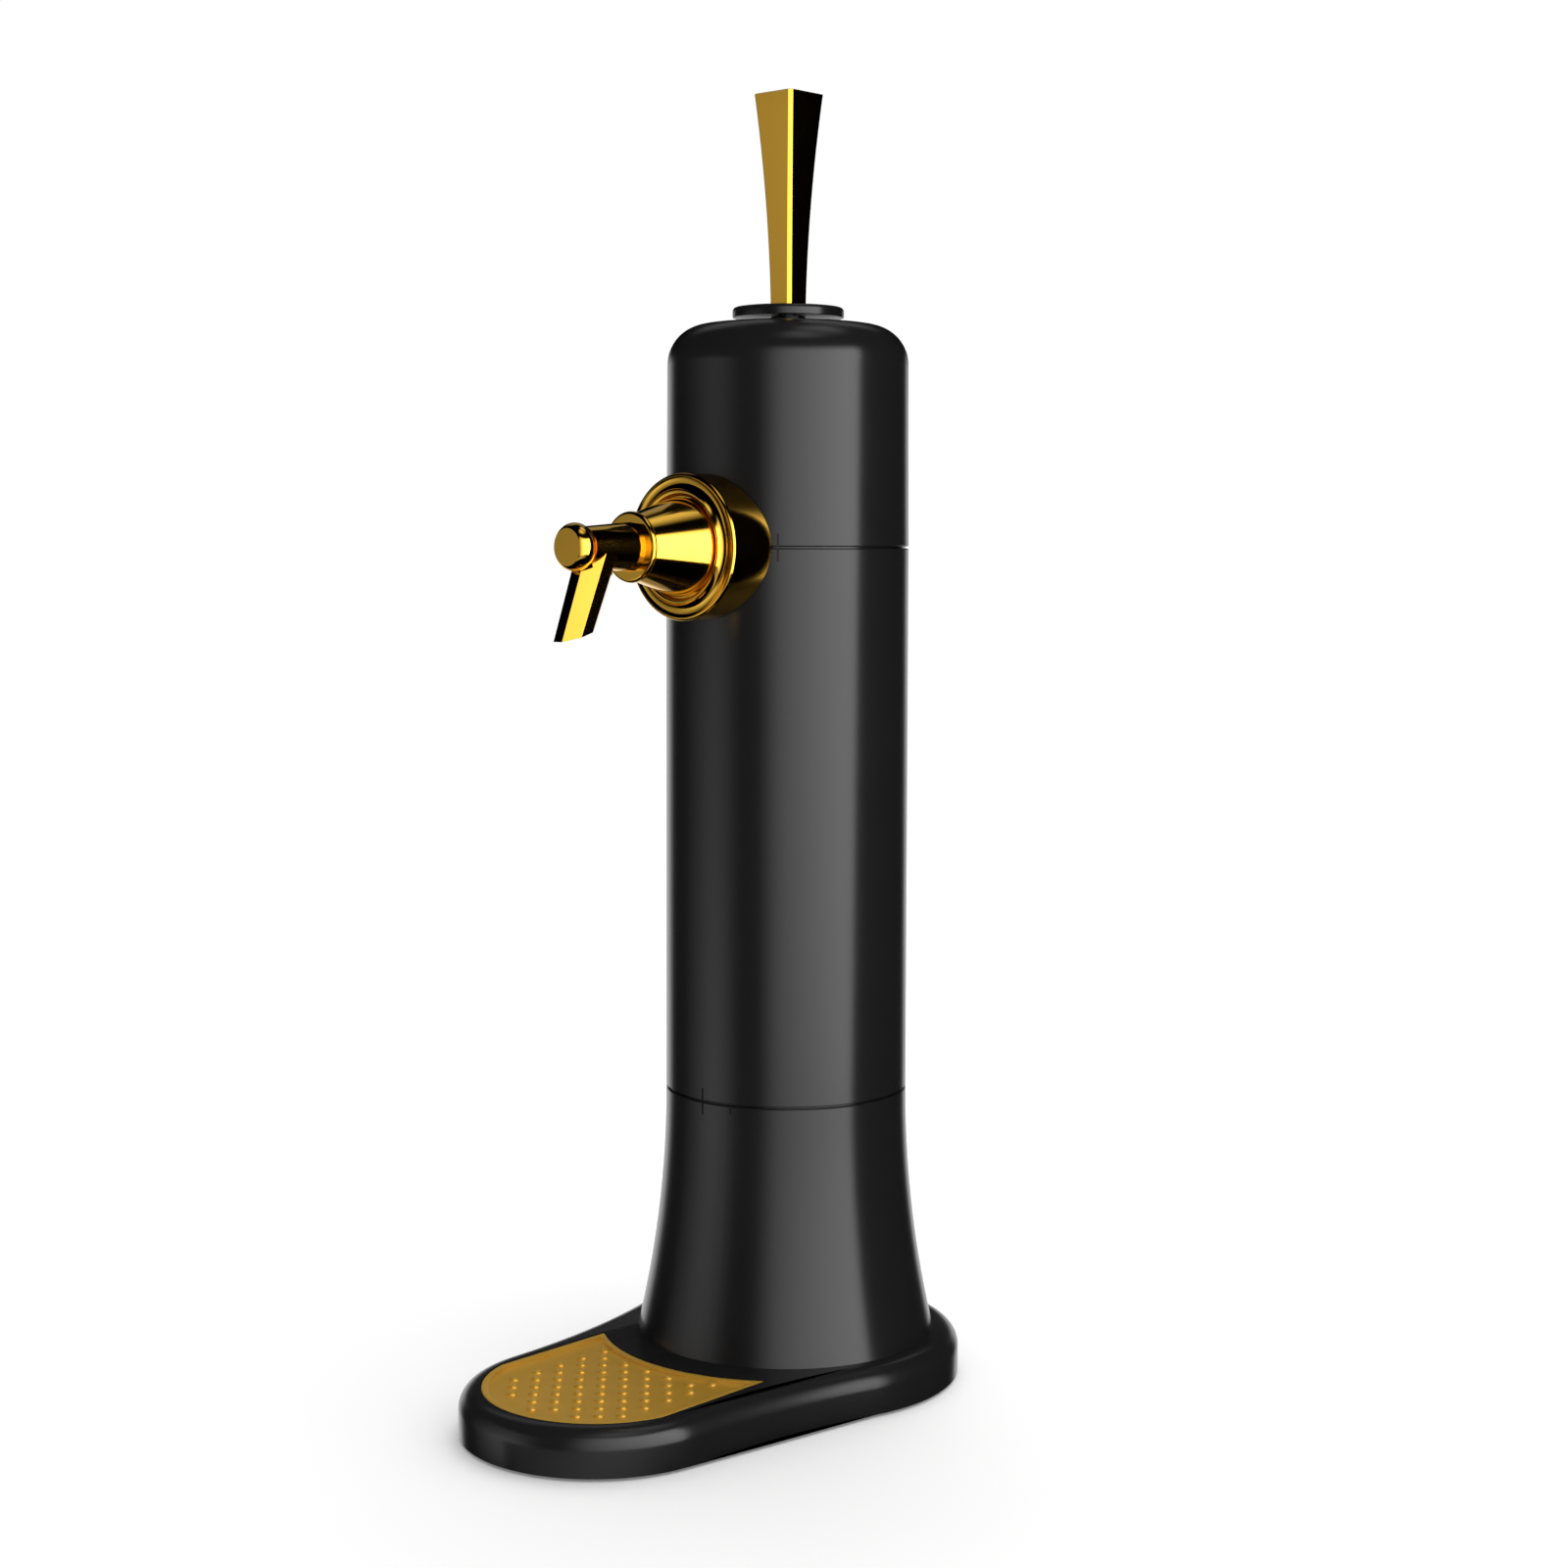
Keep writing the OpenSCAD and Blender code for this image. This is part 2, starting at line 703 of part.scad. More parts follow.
// Outer tube of the bottle chamber, with a lip at the top and notched there for the tap's shank
module barrel() {
    low = lower_seam_z + seam_gap / 2;
    notch_r = shank_r + 2 * run;
    color(black) place() difference() {
        rotate_extrude() polygon([[barrel_in_r, low], [pedestal_r - seam_edge, low],
            [pedestal_r, low + seam_edge], [tower_r, barrel_top - seam_edge],
            [tower_r - seam_edge, barrel_top], [upper_lip_r, barrel_top],
            [upper_lip_r, head_z + lip_h], [barrel_in_r, head_z + lip_h]]);
        translate([0, 0, low - over]) cylinder(r = lower_lip_r + run, h = over + lip_h + run);
        translate([0, 0, tap_z]) rotate([90, 0, 0]) cylinder(r = notch_r, h = 2 * tower_r);
    }
}

// Insulating sleeve inside the barrel
module barrel_liner() {
    color(dark) place() ring(liner_in_r, liner_out_r, liner_z, liner_top);
}

// Ring at the barrel's foot with the three bayonet lugs
module lug_ring() {
    color(dark) place() {
        ring(liner_in_r, liner_out_r, lower_seam_z, lower_seam_z + lug_ring_h);
        for (a = lug_angles)
            ring_part(lug_in_r, liner_in_r + lug_reach / 2, lug_z, lug_z + lug_h,
                a - lug_angle / 2, lug_angle);
    }
}

// Section of the head: a drafted side, a round shoulder and a gentle crown, drawn in by inset
module head_profile(inset) {
    arc_r = shoulder_r - inset;
    lean_reach = 3 * shoulder_r;
    difference() {
        intersection() {
            polygon([[0, head_z - inset], [tower_r - inset - seam_edge, head_z - inset],
                [tower_r - inset, head_z - inset + seam_edge], [shoulder_side_r - inset, shoulder_z],
                [shoulder_side_r - inset, crown_z], [0, crown_z]]);
            translate([0, crown_z - crown_r]) circle(crown_r - inset, $fn = 360);
        }
        difference() {
            polygon([[shoulder_x, shoulder_z],
                [shoulder_x + lean_reach * sin(shoulder_lean),
                    shoulder_z + lean_reach * cos(shoulder_lean)],
                [shoulder_x + lean_reach, shoulder_z + lean_reach],
                [shoulder_x + lean_reach, shoulder_z]]);
            translate([shoulder_x, shoulder_z]) circle(arc_r);
        }
    }
}

module at_posts() {
    for (x = [-post_at.x, post_at.x], y = [-post_at.y, post_at.y]) translate([x, y, 0]) children();
}

// Domed shell of the head, with posts for the lever bracket and a slot for the lever
module head_shell() {
    notch_r = shank_r + slip;
    color(black) place() difference() {
        union() {
            rotate_extrude() difference() {
                head_profile(0);
                head_profile(wall);
            }
            translate([0, 0, bracket_top]) at_posts()
                cylinder(r = post_r, h = crown_z - wall / 2 - bracket_top - post_sink);
        }
        translate([0, 0, head_z - over]) cylinder(r = upper_lip_r + run, h = over + lip_h + run);
        translate([0, 0, bracket_top - over]) at_posts()
            cylinder(r = screw_r + pin_run, h = bracket_screw_l);
        translate([0, 0, tap_z]) rotate([90, 0, 0]) cylinder(r = notch_r, h = 2 * tower_r);
        for (a = hook_angles)
            ring_part(chassis_r - over, chassis_r + hook_reach + run, hook_z - slip,
                hook_z + hook_h + slip, a - hook_angle / 2 - hook_play_angle,
                hook_angle + 2 * hook_play_angle);
        translate([0, 0, crown_z - 3 * wall]) {
            for (side = [-1, 1]) translate([0, side * (slot_l - slot_w), 0])
                cylinder(r = slot_w, h = 6 * wall);
            translate([-slot_w, -(slot_l - slot_w), 0])
                cube([2 * slot_w, 2 * (slot_l - slot_w), 6 * wall]);
        }
    }
}

// Bulkhead and ring that carry everything in the head and close the bottle chamber
module head_chassis() {
    color(dark) place() difference() {
        union() {
            translate([0, 0, bulk_z]) cylinder(r = chassis_r, h = bulk_t);
            ring(chassis_in_r, chassis_r, bulk_z, chassis_top);
            for (a = hook_angles)
                ring_part(chassis_r - over, chassis_r + hook_reach, hook_z, hook_z + hook_h,
                    a - hook_angle / 2, hook_angle);
            translate([pump_at.x, hose_y, bulk_z - nipple_down])
                cylinder(r = nipple_r, h = bulk_t + nipple_down + nipple_up);
        }
        translate([0, 0, bulk_z - over]) cylinder(r = elbow_r + slip, h = bulk_t + 2 * over);
        translate([pump_at.x, hose_y, bulk_z - nipple_down - over])
            cylinder(r = nipple_bore_r, h = bulk_t + nipple_down + nipple_up + 2 * over);
        ring_part(holder_in_r + door_edge, holder_out_r - door_edge, bulk_z - over,
            bulk_top + over, 90 - holder_angle / 2 + door_end, holder_angle - 2 * door_end);
        translate([0, 0, tap_z]) rotate([90, 0, 0])
            cylinder(r = shank_r + slip, h = 2 * tower_r);
    }
}

// Soft ring that seals the head on the barrel's liner
module head_seal() {
    color(white) place() ring(liner_in_r + slip, chassis_r - slip, liner_top, bulk_z);
}

// Straight tube that draws the beer from the bottom of the can
module dip_tube() {
    color(white) place() ring(dip_bore_r, dip_r, dip_low, elbow_low + dip_socket);
}

// Moulded elbow that leads the beer from the dip tube to the tap's shank
module beer_elbow() {
    color(white) place() difference() {
        union() {
            translate([0, 0, elbow_low]) cylinder(r = elbow_r, h = tap_z - elbow_low);
            translate([0, 0, bulk_top]) cylinder(r = elbow_foot_r, h = elbow_foot_t);
            translate([0, 0, tap_z]) {
                sphere(r = elbow_r);
                rotate([90, 0, 0]) cylinder(r = elbow_r, h = shank_back - slip);
                rotate([90, 0, 0]) cylinder(r = beer_r - slip, h = shank_back + elbow_plug_l);
                rotate([-90, 0, 0]) cylinder(r = saddle_neck_r, h = saddle_y);
                translate([0, saddle_y - saddle_t, 0]) rotate([-90, 0, 0])
                    cylinder(r = saddle_r, h = saddle_t);
            }
        }
        translate([0, 0, elbow_low - over]) cylinder(r = dip_r + pin_run, h = dip_socket + over);
        translate([0, 0, elbow_low]) cylinder(r = elbow_bore_r, h = tap_z - elbow_low);
        translate([0, 0, tap_z]) {
            sphere(r = elbow_bore_r);
            rotate([90, 0, 0]) cylinder(r = elbow_bore_r, h = shank_back + elbow_plug_l + over);
        }
    }
}

// Ultrasonic disc that shakes the beer line to make foam
module foam_transducer() {
    color(steel) place() translate([0, saddle_y, tap_z]) rotate([-90, 0, 0]) {
        cylinder(r = transducer_r, h = transducer_t);
        cylinder(r = transducer_r - transducer_step, h = transducer_t + transducer_step_t);
    }
}

// Air pump on the bulkhead, with its outlet nipple at the front
module pump_head() {
    color(dark) place() translate([pump_at.x, pump_at.y, 0]) {
        translate([0, 0, bulk_top]) difference() {
            cylinder(r = pump_r, h = pump_h);
            for (z = [pump_h / 3, 2 * pump_h / 3]) translate([0, 0, z - rib_w / 2])
                ring(pump_r - rib_depth, pump_r + over, 0, rib_w);
        }
        translate([0, -pump_r + over, hose_z]) rotate([90, 0, 0])
            cylinder(r = nipple_r, h = nipple_l + over);
    }
}

// Electric motor that drives the pump
module pump_motor() {
    color(steel) place() translate([pump_at.x, pump_at.y, motor_z]) {
        cylinder(r = motor_r, h = motor_l);
        translate([0, 0, motor_l]) cylinder(r = motor_boss_r, h = motor_boss_h);
        for (side = [-1, 1]) translate([side * tag_at - tag_t / 2, -tag_w / 2, motor_l - over])
            cube([tag_t, tag_w, tag_h + over]);
    }
}

// Path of the air hose at a given radius: out of the pump, round a bend and down to the bulkhead
module hose_path(r) {
    translate([pump_at.x, hose_y + hose_bend, hose_z - hose_bend]) {
        rotate([90, 0, -90]) rotate_extrude(angle = 90) translate([hose_bend, 0]) circle(r);
        translate([0, 0, hose_bend]) rotate([-90, 0, 0]) cylinder(r = r, h = nipple_l - slip);
        translate([0, -hose_bend, bulk_top + slip - hose_z + hose_bend])
            cylinder(r = r, h = hose_z - hose_bend - bulk_top - slip);
    }
}

// Soft hose that leads the air down into the bottle chamber
module air_hose() {
    color(white) place() difference() {
        hose_path(hose_r);
        hose_path(nipple_r + pin_run);
    }
}

// Arc-shaped holder with one well for each battery cell
module battery_holder() {
    color(dark) place() difference() {
        ring_part(holder_in_r, holder_out_r, bulk_top, holder_top, 90 - holder_angle / 2, holder_angle);
        for (a = cell_angles) rotate([0, 0, a]) translate([cell_ring_r, 0, bulk_top - over])
            cylinder(r = cell_r + run, h = holder_top - holder_roof - bulk_top + over);
    }
}

module at_cells() {
    for (a = cell_angles) rotate([0, 0, a]) translate([cell_ring_r, 0, 0]) children();
}

// Four battery cells, alternately turned
module battery_cells() {
    color(gold) place() at_cells() {
        translate([0, 0, cell_z]) cylinder(r = cell_r, h = cell_l - cell_cap_h);
        translate([0, 0, cell_z]) cylinder(r = cell_cap_r, h = cell_l);
    }
}

// Sprung contacts below the cells and flat ones above them
module battery_contacts() {
    color(steel) place() at_cells() {
        translate([0, 0, bulk_top]) cylinder(r1 = contact_r, r2 = contact_tip_r, h = spring_h);
        translate([0, 0, cell_z + cell_l]) cylinder(r = contact_r, h = contact_t);
    }
}

// Door in the bulkhead under the batteries, which comes out downwards
module battery_door() {
    end = door_end + door_gap;
    color(dark) place() ring_part(holder_in_r + door_edge + run, holder_out_r - door_edge - run,
        bulk_z, bulk_top - slip, 90 - holder_angle / 2 + end, holder_angle - 2 * end);
}

// Control board that stands on the bulkhead
module circuit_board() {
    color(green) place() translate([board_x, board_y, bulk_top]) cube([board_t, board_w, board_h]);
}

// Relay, capacitor, coil and connector on the control board
module board_components() {
    color(black) place() translate([board_x, board_y, bulk_top]) {
        translate([-9, 4, 8]) cube([9, 12, 16]);
        translate([-5, 22, 12]) rotate([0, 90, 0]) cylinder(r = 4, h = 5);
        translate([-3, 6, 30]) cube([3, 10, 10]);
        translate([-6, 19, 34]) cube([6, 8, 9]);
    }
}

// Bracket under the crown that carries the lever's pin and the two switches
module lever_bracket() {
    seat_top = pivot_z - switch_drop - switch_h / 2;
    color(dark) place() difference() {
        union() {
            translate([-bracket_w / 2, -bracket_d / 2, bracket_z])
                cube([bracket_w, bracket_d, bracket_t]);
            for (side = [-1, 1]) {
                translate([side * (cheek_in + cheek_t / 2), 0, 0]) {
                    translate([-cheek_t / 2, -cheek_r, bracket_top - over])
                        cube([cheek_t, 2 * cheek_r, pivot_z - bracket_top + over]);
                    translate([-cheek_t / 2, 0, pivot_z]) rotate([0, 90, 0])
                        cylinder(r = cheek_r, h = cheek_t);
                }
                translate([-switch_l / 2, side * (switch_face + switch_d / 2) - switch_d / 2,
                    bracket_top - over])
                    cube([switch_l, switch_d, seat_top - bracket_top + over]);
            }
        }
        translate([-bracket_w, 0, pivot_z]) rotate([0, 90, 0])
            cylinder(r = pin_r + pin_fit, h = 2 * bracket_w);
        translate([0, 0, bracket_z - over]) at_posts()
            cylinder(r = screw_r + slip, h = bracket_t + 2 * over);
    }
}

// Screws that hold the bracket to the posts under the crown
module bracket_screws() {
    color(steel) place() translate([0, 0, bracket_z]) at_posts()
        screw(screw_r, bracket_screw_l, screw_head_r, screw_head_h);
}

// Pin that the lever turns on
module pivot_pin() {
    reach = cheek_in + cheek_t;
    color(steel) place() translate([0, 0, pivot_z]) rotate([0, 90, 0]) {
        translate([0, 0, -reach]) cylinder(r = pin_r, h = 2 * reach);
        for (side = [-1, 1]) translate([0, 0, side * (reach + pin_head_t / 2) - pin_head_t / 2])
            cylinder(r = pin_head_r, h = pin_head_t);
    }
}

// Small switch beside the lever's tail; side is -1 for the front one and 1 for the rear one
module tail_switch(side) {
    z = pivot_z - switch_drop;
    color(black) place() difference() {
        translate([-switch_l / 2, side * (switch_face + switch_d / 2) - switch_d / 2, z - switch_h / 2])
            cube([switch_l, switch_d, switch_h]);
        translate([0, side * (switch_face - over), z]) rotate([-side * 90, 0, 0])
            cylinder(r = plunger_r + pin_run, h = switch_d + over - switch_back);
    }
}

module front_switch() tail_switch(-1);

module rear_switch() tail_switch(1);

// Sprung plunger of a switch, whose round tip rests against the lever's tail
module tail_plunger(side) {
    color(red) place() translate([0, side * plunger_face, pivot_z - switch_drop])
        rotate([-side * 90, 0, 0]) rotate_extrude() intersection() {
            square([plunger_r, plunger_out + plunger_in]);
            translate([0, plunger_r]) union() {
                circle(plunger_r);
                square([plunger_r, plunger_out + plunger_in]);
            }
        }
}

module front_plunger() tail_plunger(-1);

module rear_plunger() tail_plunger(1);

// Lever with its hub on the pin, its stem through the crown and its tail between the switches
module lever() {
    hub_l = 2 * (cheek_in - run);
    color(steel) place() difference() {
        union() {
            translate([-hub_l / 2, 0, pivot_z]) rotate([0, 90, 0]) cylinder(r = hub_r, h = hub_l);
            translate([0, 0, pivot_z]) cylinder(r = stem_r, h = handle_z + stud_l - pivot_z);
            translate([-tail_w / 2, -tail_t / 2, pivot_z - tail_drop])
                cube([tail_w, tail_t, tail_drop]);
        }
        translate([-hub_l, 0, pivot_z]) rotate([0, 90, 0])
            cylinder(r = pin_r + pin_run, h = 2 * hub_l);
    }
}

// Half width of the handle at a share t of its height: a straight taper, bowed in between
function handle_half(foot, top, bow, t) = foot + (top - foot) * t - 4 * bow * t * (1 - t);

// One pair of the handle's faces, turned about its axis
module handle_faces(turn, foot, top, bow) {
    side = [for (i = [0:handle_steps]) let (t = i / handle_steps)
        [handle_half(foot, top, bow, t), handle_h * t]];
    other = [for (i = [handle_steps:-1:0]) [-side[i].x, side[i].y]];
    rotate([0, 0, turn]) rotate([90, 0, 0]) translate([0, 0, -handle_top_w])
        linear_extrude(2 * handle_top_w) polygon(concat(side, other));
}

// Tapered square handle with bevelled corners, screwed onto the lever's stem
module handle() {
    foot = handle_foot_w / 2;
    top = handle_top_w / 2;
    corner_foot = (2 * foot - handle_bevel) / sqrt(2);
    corner_top = (2 * top - handle_bevel) / sqrt(2);
    color(gold) place() translate([0, 0, handle_z]) difference() {
        intersection() {
            handle_faces(0, foot, top, handle_bow);
            handle_faces(90, foot, top, handle_bow);
            handle_faces(45, corner_foot, corner_top, handle_bow * sqrt(2));
            handle_faces(135, corner_foot, corner_top, handle_bow * sqrt(2));
        }
        translate([0, 0, -over]) cylinder(r = stem_r + pin_run, h = stud_l + over + tip_gap);
    }
}

// Bevelled disc that slides on the crown with the lever and keeps its slot covered
module slot_cover() {
    color(black) place() translate([0, 0, cover_z]) rotate_extrude() polygon([
        [cover_hole_r, 0], [cover_r, 0], [cover_r, cover_edge], [cover_top_r, cover_h],
        [cover_dish_r, cover_h], [cover_dish_r, cover_h - cover_dish],
        [cover_hole_r, cover_h - cover_dish]]);
}

// Round flange of the tap, hollowed at the back to sit on the tower
module tap_flange() {
    color(gold) place() difference() {
        tap_turn() difference() {
            union() {
                square([flange_r, flange_front - flange_edge]);
                square([flange_r - flange_edge, flange_front]);
                translate([flange_r - flange_edge, flange_front - flange_edge]) circle(flange_edge);
                translate([bead_r, flange_front - bead_sink]) circle(bead_w);
            }
            translate([dish_r, flange_front + dish_arc - dish_depth]) circle(dish_arc);
            translate([0, cone_seat]) square([cone_base_r + slip, flange_front]);
            square([shank_r + slip, flange_front]);
        }
        translate([0, 0, tap_z - 2 * flange_r])
            cylinder(r = tower_r + saddle_gap, h = 4 * flange_r, $fn = 180);
    }
}

// Cone of the tap with the threaded shank that goes through the wall
module tap_body() {
    color(gold) place() tap_turn() difference() {
        union() {
            translate([0, cone_seat]) square([cone_base_r, flange_front + cone_step - cone_seat]);
            polygon([[0, flange_front + cone_step], [cone_base_r, flange_front + cone_step],
                [cone_nose_r, cone_front], [0, cone_front]]);
            translate([0, shank_back]) square([shank_r, cone_seat - shank_back]);
        }
        square([beer_r, cone_front + over]);
        translate([0, cone_front - spigot_l]) square([spigot_r + pin_run, spigot_l + over]);
    }
}

// Thin round-edged ring between cone and tube
module tap_collar() {
    edge = collar_w / 2;
    color(gold) place() tap_turn() {
        translate([spigot_r + slip, cone_front])
            square([collar_r - edge - spigot_r - slip, collar_w]);
        translate([collar_r - edge, cone_front + edge]) circle(edge);
    }
}

// Tapered tube, plugged into the cone, that carries the nozzle
module tap_tube() {
    color(gold) place() difference() {
        tap_turn() difference() {
            union() {
                polygon([[0, collar_front], [tube_r, collar_front], [tube_end_r, tube_front],
                    [0, tube_front]]);
                translate([0, cone_front - spigot_l + slip])
                    square([spigot_r, collar_front - cone_front + spigot_l - slip]);
            }
            square([beer_r, tube_bore_front]);
        }
        at_nozzle() translate([0, 0, -2 * tube_r])
            cylinder(r = nozzle_plug_r + pin_run, h = 2 * tube_r + plug_l + plug_room);
    }
}

// Round cap with a flat face that closes the tube
module tap_cap() {
    color(gold) place() tap_turn() intersection() {
        translate([0, tube_front]) square([cap_r, cap_l]);
        union() {
            translate([0, tube_front]) square([cap_face_r, cap_l]);
            translate([cap_r - cap_edge_r, tube_front + cap_l / 2]) circle(cap_edge_r);
        }
    }
}

// Puts a piece on the nozzle's leaning axis, with z up along it
module at_nozzle() {
    translate([0, -nozzle_f, nozzle_z]) rotate([-nozzle_lean, 0, 0]) children();
}

// One pair of the nozzle's faces, tapering towards the outlet
module nozzle_side(turn, w) {
    reach = nozzle_l + nozzle_w;
    half = w / 2;
    slope = half * (1 - nozzle_taper) / nozzle_l;
    rotate([0, 0, turn]) rotate([90, 0, 0]) translate([0, 0, -nozzle_w]) linear_extrude(2 * nozzle_w)
        polygon([[-half + slope * reach, -reach], [half - slope * reach, -reach],
            [half + slope * tube_r, tube_r], [-half - slope * tube_r, tube_r]]);
}

// Eight-sided outlet that leans forwards under the tube
module nozzle() {
    color(gold) place() difference() {
        union() {
            difference() {
                at_nozzle() intersection() {
                    nozzle_side(0, nozzle_w);
                    nozzle_side(90, nozzle_w);
                    nozzle_side(45, nozzle_corner_w);
                    nozzle_side(135, nozzle_corner_w);
                }
                tap_turn() polygon([[0, 0], [tube_r + slip, 0], [tube_r + slip, collar_front],
                    [tube_end_r + slip, tube_front], [tube_end_r + slip, cap_front + over],
                    [0, cap_front + over]]);
                tap_turn() translate([0, tube_front - slip]) square([cap_r + slip, cap_l + over]);
            }
            at_nozzle() translate([0, 0, -tube_r / 2])
                cylinder(r = nozzle_plug_r, h = plug_l + tube_r / 2);
        }
        at_nozzle() translate([0, 0, -2 * nozzle_l])
            cylinder(r = nozzle_bore_r, h = 2 * nozzle_l + 4 * tube_r);
        at_nozzle() translate([0, 0, -nozzle_l]) rotate([nozzle_lean + outlet_slope, 0, 0])
            translate([-nozzle_w, -2 * nozzle_w, -2 * nozzle_w])
            cube([2 * nozzle_w, 4 * nozzle_w, 2 * nozzle_w]);
    }
}

// Six-sided nut that clamps the tap to the head from inside
module shank_nut() {
    color(steel) place() translate([0, -nut_front, tap_z]) rotate([-90, 0, 0]) difference() {
        cylinder(r = nut_r, h = nut_h, $fn = 6);
        translate([0, 0, -over]) cylinder(r = shank_r + pin_run, h = nut_h + 2 * over);
    }
}

base_cover();
base_plate();
rubber_feet();
base_screws();
drip_tray();
pedestal();
pedestal_screws();
bottle_cup();
bottle_pad();
locking_ring();
ring_screws();
barrel();
barrel_liner();
lug_ring();
head_shell();
head_chassis();
head_seal();
dip_tube();
beer_elbow();
foam_transducer();
pump_head();
pump_motor();
air_hose();
battery_holder();
battery_cells();
battery_contacts();
battery_door();
circuit_board();
board_components();
lever_bracket();
bracket_screws();
pivot_pin();
front_switch();
rear_switch();
tap_flange();
tap_body();
tap_collar();
tap_tube();
tap_cap();
nozzle();
shank_nut();
lever();
handle();
slot_cover();
front_plunger();
rear_plunger();
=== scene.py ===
"""Table-top beer foaming tower: finishes, fine detail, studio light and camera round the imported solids."""

import json
import math

import bmesh
import bpy
from mathutils import Matrix, Vector


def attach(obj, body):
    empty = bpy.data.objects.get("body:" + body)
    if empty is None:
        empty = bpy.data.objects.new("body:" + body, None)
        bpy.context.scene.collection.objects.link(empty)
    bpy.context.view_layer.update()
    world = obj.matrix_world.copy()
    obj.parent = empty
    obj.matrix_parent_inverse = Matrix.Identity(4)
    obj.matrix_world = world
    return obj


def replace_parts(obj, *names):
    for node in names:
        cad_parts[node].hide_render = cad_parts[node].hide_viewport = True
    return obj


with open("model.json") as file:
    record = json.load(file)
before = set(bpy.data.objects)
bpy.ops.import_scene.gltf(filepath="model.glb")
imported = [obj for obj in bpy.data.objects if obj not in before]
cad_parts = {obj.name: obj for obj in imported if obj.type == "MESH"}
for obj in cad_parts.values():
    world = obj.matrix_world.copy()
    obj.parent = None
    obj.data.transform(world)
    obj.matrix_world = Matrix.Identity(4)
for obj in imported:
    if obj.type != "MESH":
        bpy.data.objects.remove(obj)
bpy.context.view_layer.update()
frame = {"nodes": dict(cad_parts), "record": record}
NODES = frame["nodes"]
MM = 0.001

# Sizes shared with the solids, in millimetres, with the tower's axis at x = 0, y = TOWER_Y
TOWER_Y = 41.5
UPPER_SEAM = 319.6
LOWER_SEAM = 113.1
SEAM_GAP = 0.6
TOWER_R = 46.0
BARREL_FOOT_R = 46.3
HEAD_DRAFT = 0.5
HEAD_SIDE = 69.0
FLARE_ARC_R = 413.0
TRAY_FLOOR = 16.6
TRAY_HALF = 42.0
TRAY_ARC_Y = TOWER_Y - 98.8
TRAY_ARC_R = 43.4
TRAY_BACK_R = 71.0
COVER_Z = 405.1
COVER_R = 21.0
COVER_H = 4.7
COVER_RIM_H = 4.2
COVER_HOLE_R = 3.9
COVER_DISH_R = 8.95
COVER_FLOOR_H = 3.1


def linear(code):
    """An sRGB hex colour as linear red, green, blue and alpha."""
    channels = [int(code[i:i + 2], 16) / 255 for i in (1, 3, 5)]
    return tuple(c / 12.92 if c <= 0.04045 else ((c + 0.055) / 1.055) ** 2.4 for c in channels) + (1.0,)


def add(tree, kind, inputs=None, **settings):
    """Adds a node with its settings; each input is a value, or an output to link."""
    node = tree.nodes.new(kind)
    for name, value in settings.items():
        setattr(node, name, value)
    for name, value in (inputs or {}).items():
        if isinstance(value, bpy.types.NodeSocket):
            tree.links.new(value, node.inputs[name])
        else:
            node.inputs[name].default_value = value
    return node


def per_mm(size):
    """Texture scale at which one feature of a noise is about size millimetres wide."""
    return 1.0 / (size * MM)


def finish(name, dark, light, rough, metallic=0.0, mottle=20.0, grain=0.5, relief=0.004, ior=1.5,
           stretch=(1.0, 1.0, 1.0)):
    """A material whose colour and roughness wander between two ends, with a fine relief.

    mottle and grain are the sizes in millimetres of the slow colour change and of the surface grain,
    relief is the grain's height in millimetres, and stretch draws the grain out along an axis."""
    material = bpy.data.materials.new(name)
    material.use_nodes = True
    tree = material.node_tree
    tree.nodes.clear()
    place = add(tree, "ShaderNodeTexCoord").outputs["Object"]
    slow = add(tree, "ShaderNodeTexNoise", {"Vector": place, "Scale": per_mm(mottle), "Detail": 3.0})
    drawn = add(tree, "ShaderNodeMapping", {"Vector": place, "Scale": stretch})
    fine = add(tree, "ShaderNodeTexNoise",
               {"Vector": drawn.outputs["Vector"], "Scale": per_mm(grain), "Detail": 2.0})
    # The mix node's colour sockets go by number, because others have the same names
    first, second, mixed = 6, 7, 2
    colour = add(tree, "ShaderNodeMix",
                 {"Factor": slow.outputs["Fac"], first: linear(dark), second: linear(light)},
                 data_type="RGBA")
    spread = add(tree, "ShaderNodeMapRange",
                 {"Value": slow.outputs["Fac"], "To Min": rough[0], "To Max": rough[1]})
    bump = add(tree, "ShaderNodeBump",
               {"Height": fine.outputs["Fac"], "Strength": 1.0, "Distance": relief * MM})
    shader = add(tree, "ShaderNodeBsdfPrincipled",
                 {"Base Color": colour.outputs[mixed], "Roughness": spread.outputs["Result"],
                  "Normal": bump.outputs["Normal"], "Metallic": metallic, "IOR": ior})
    add(tree, "ShaderNodeOutputMaterial", {"Surface": shader.outputs["BSDF"]})
    return material


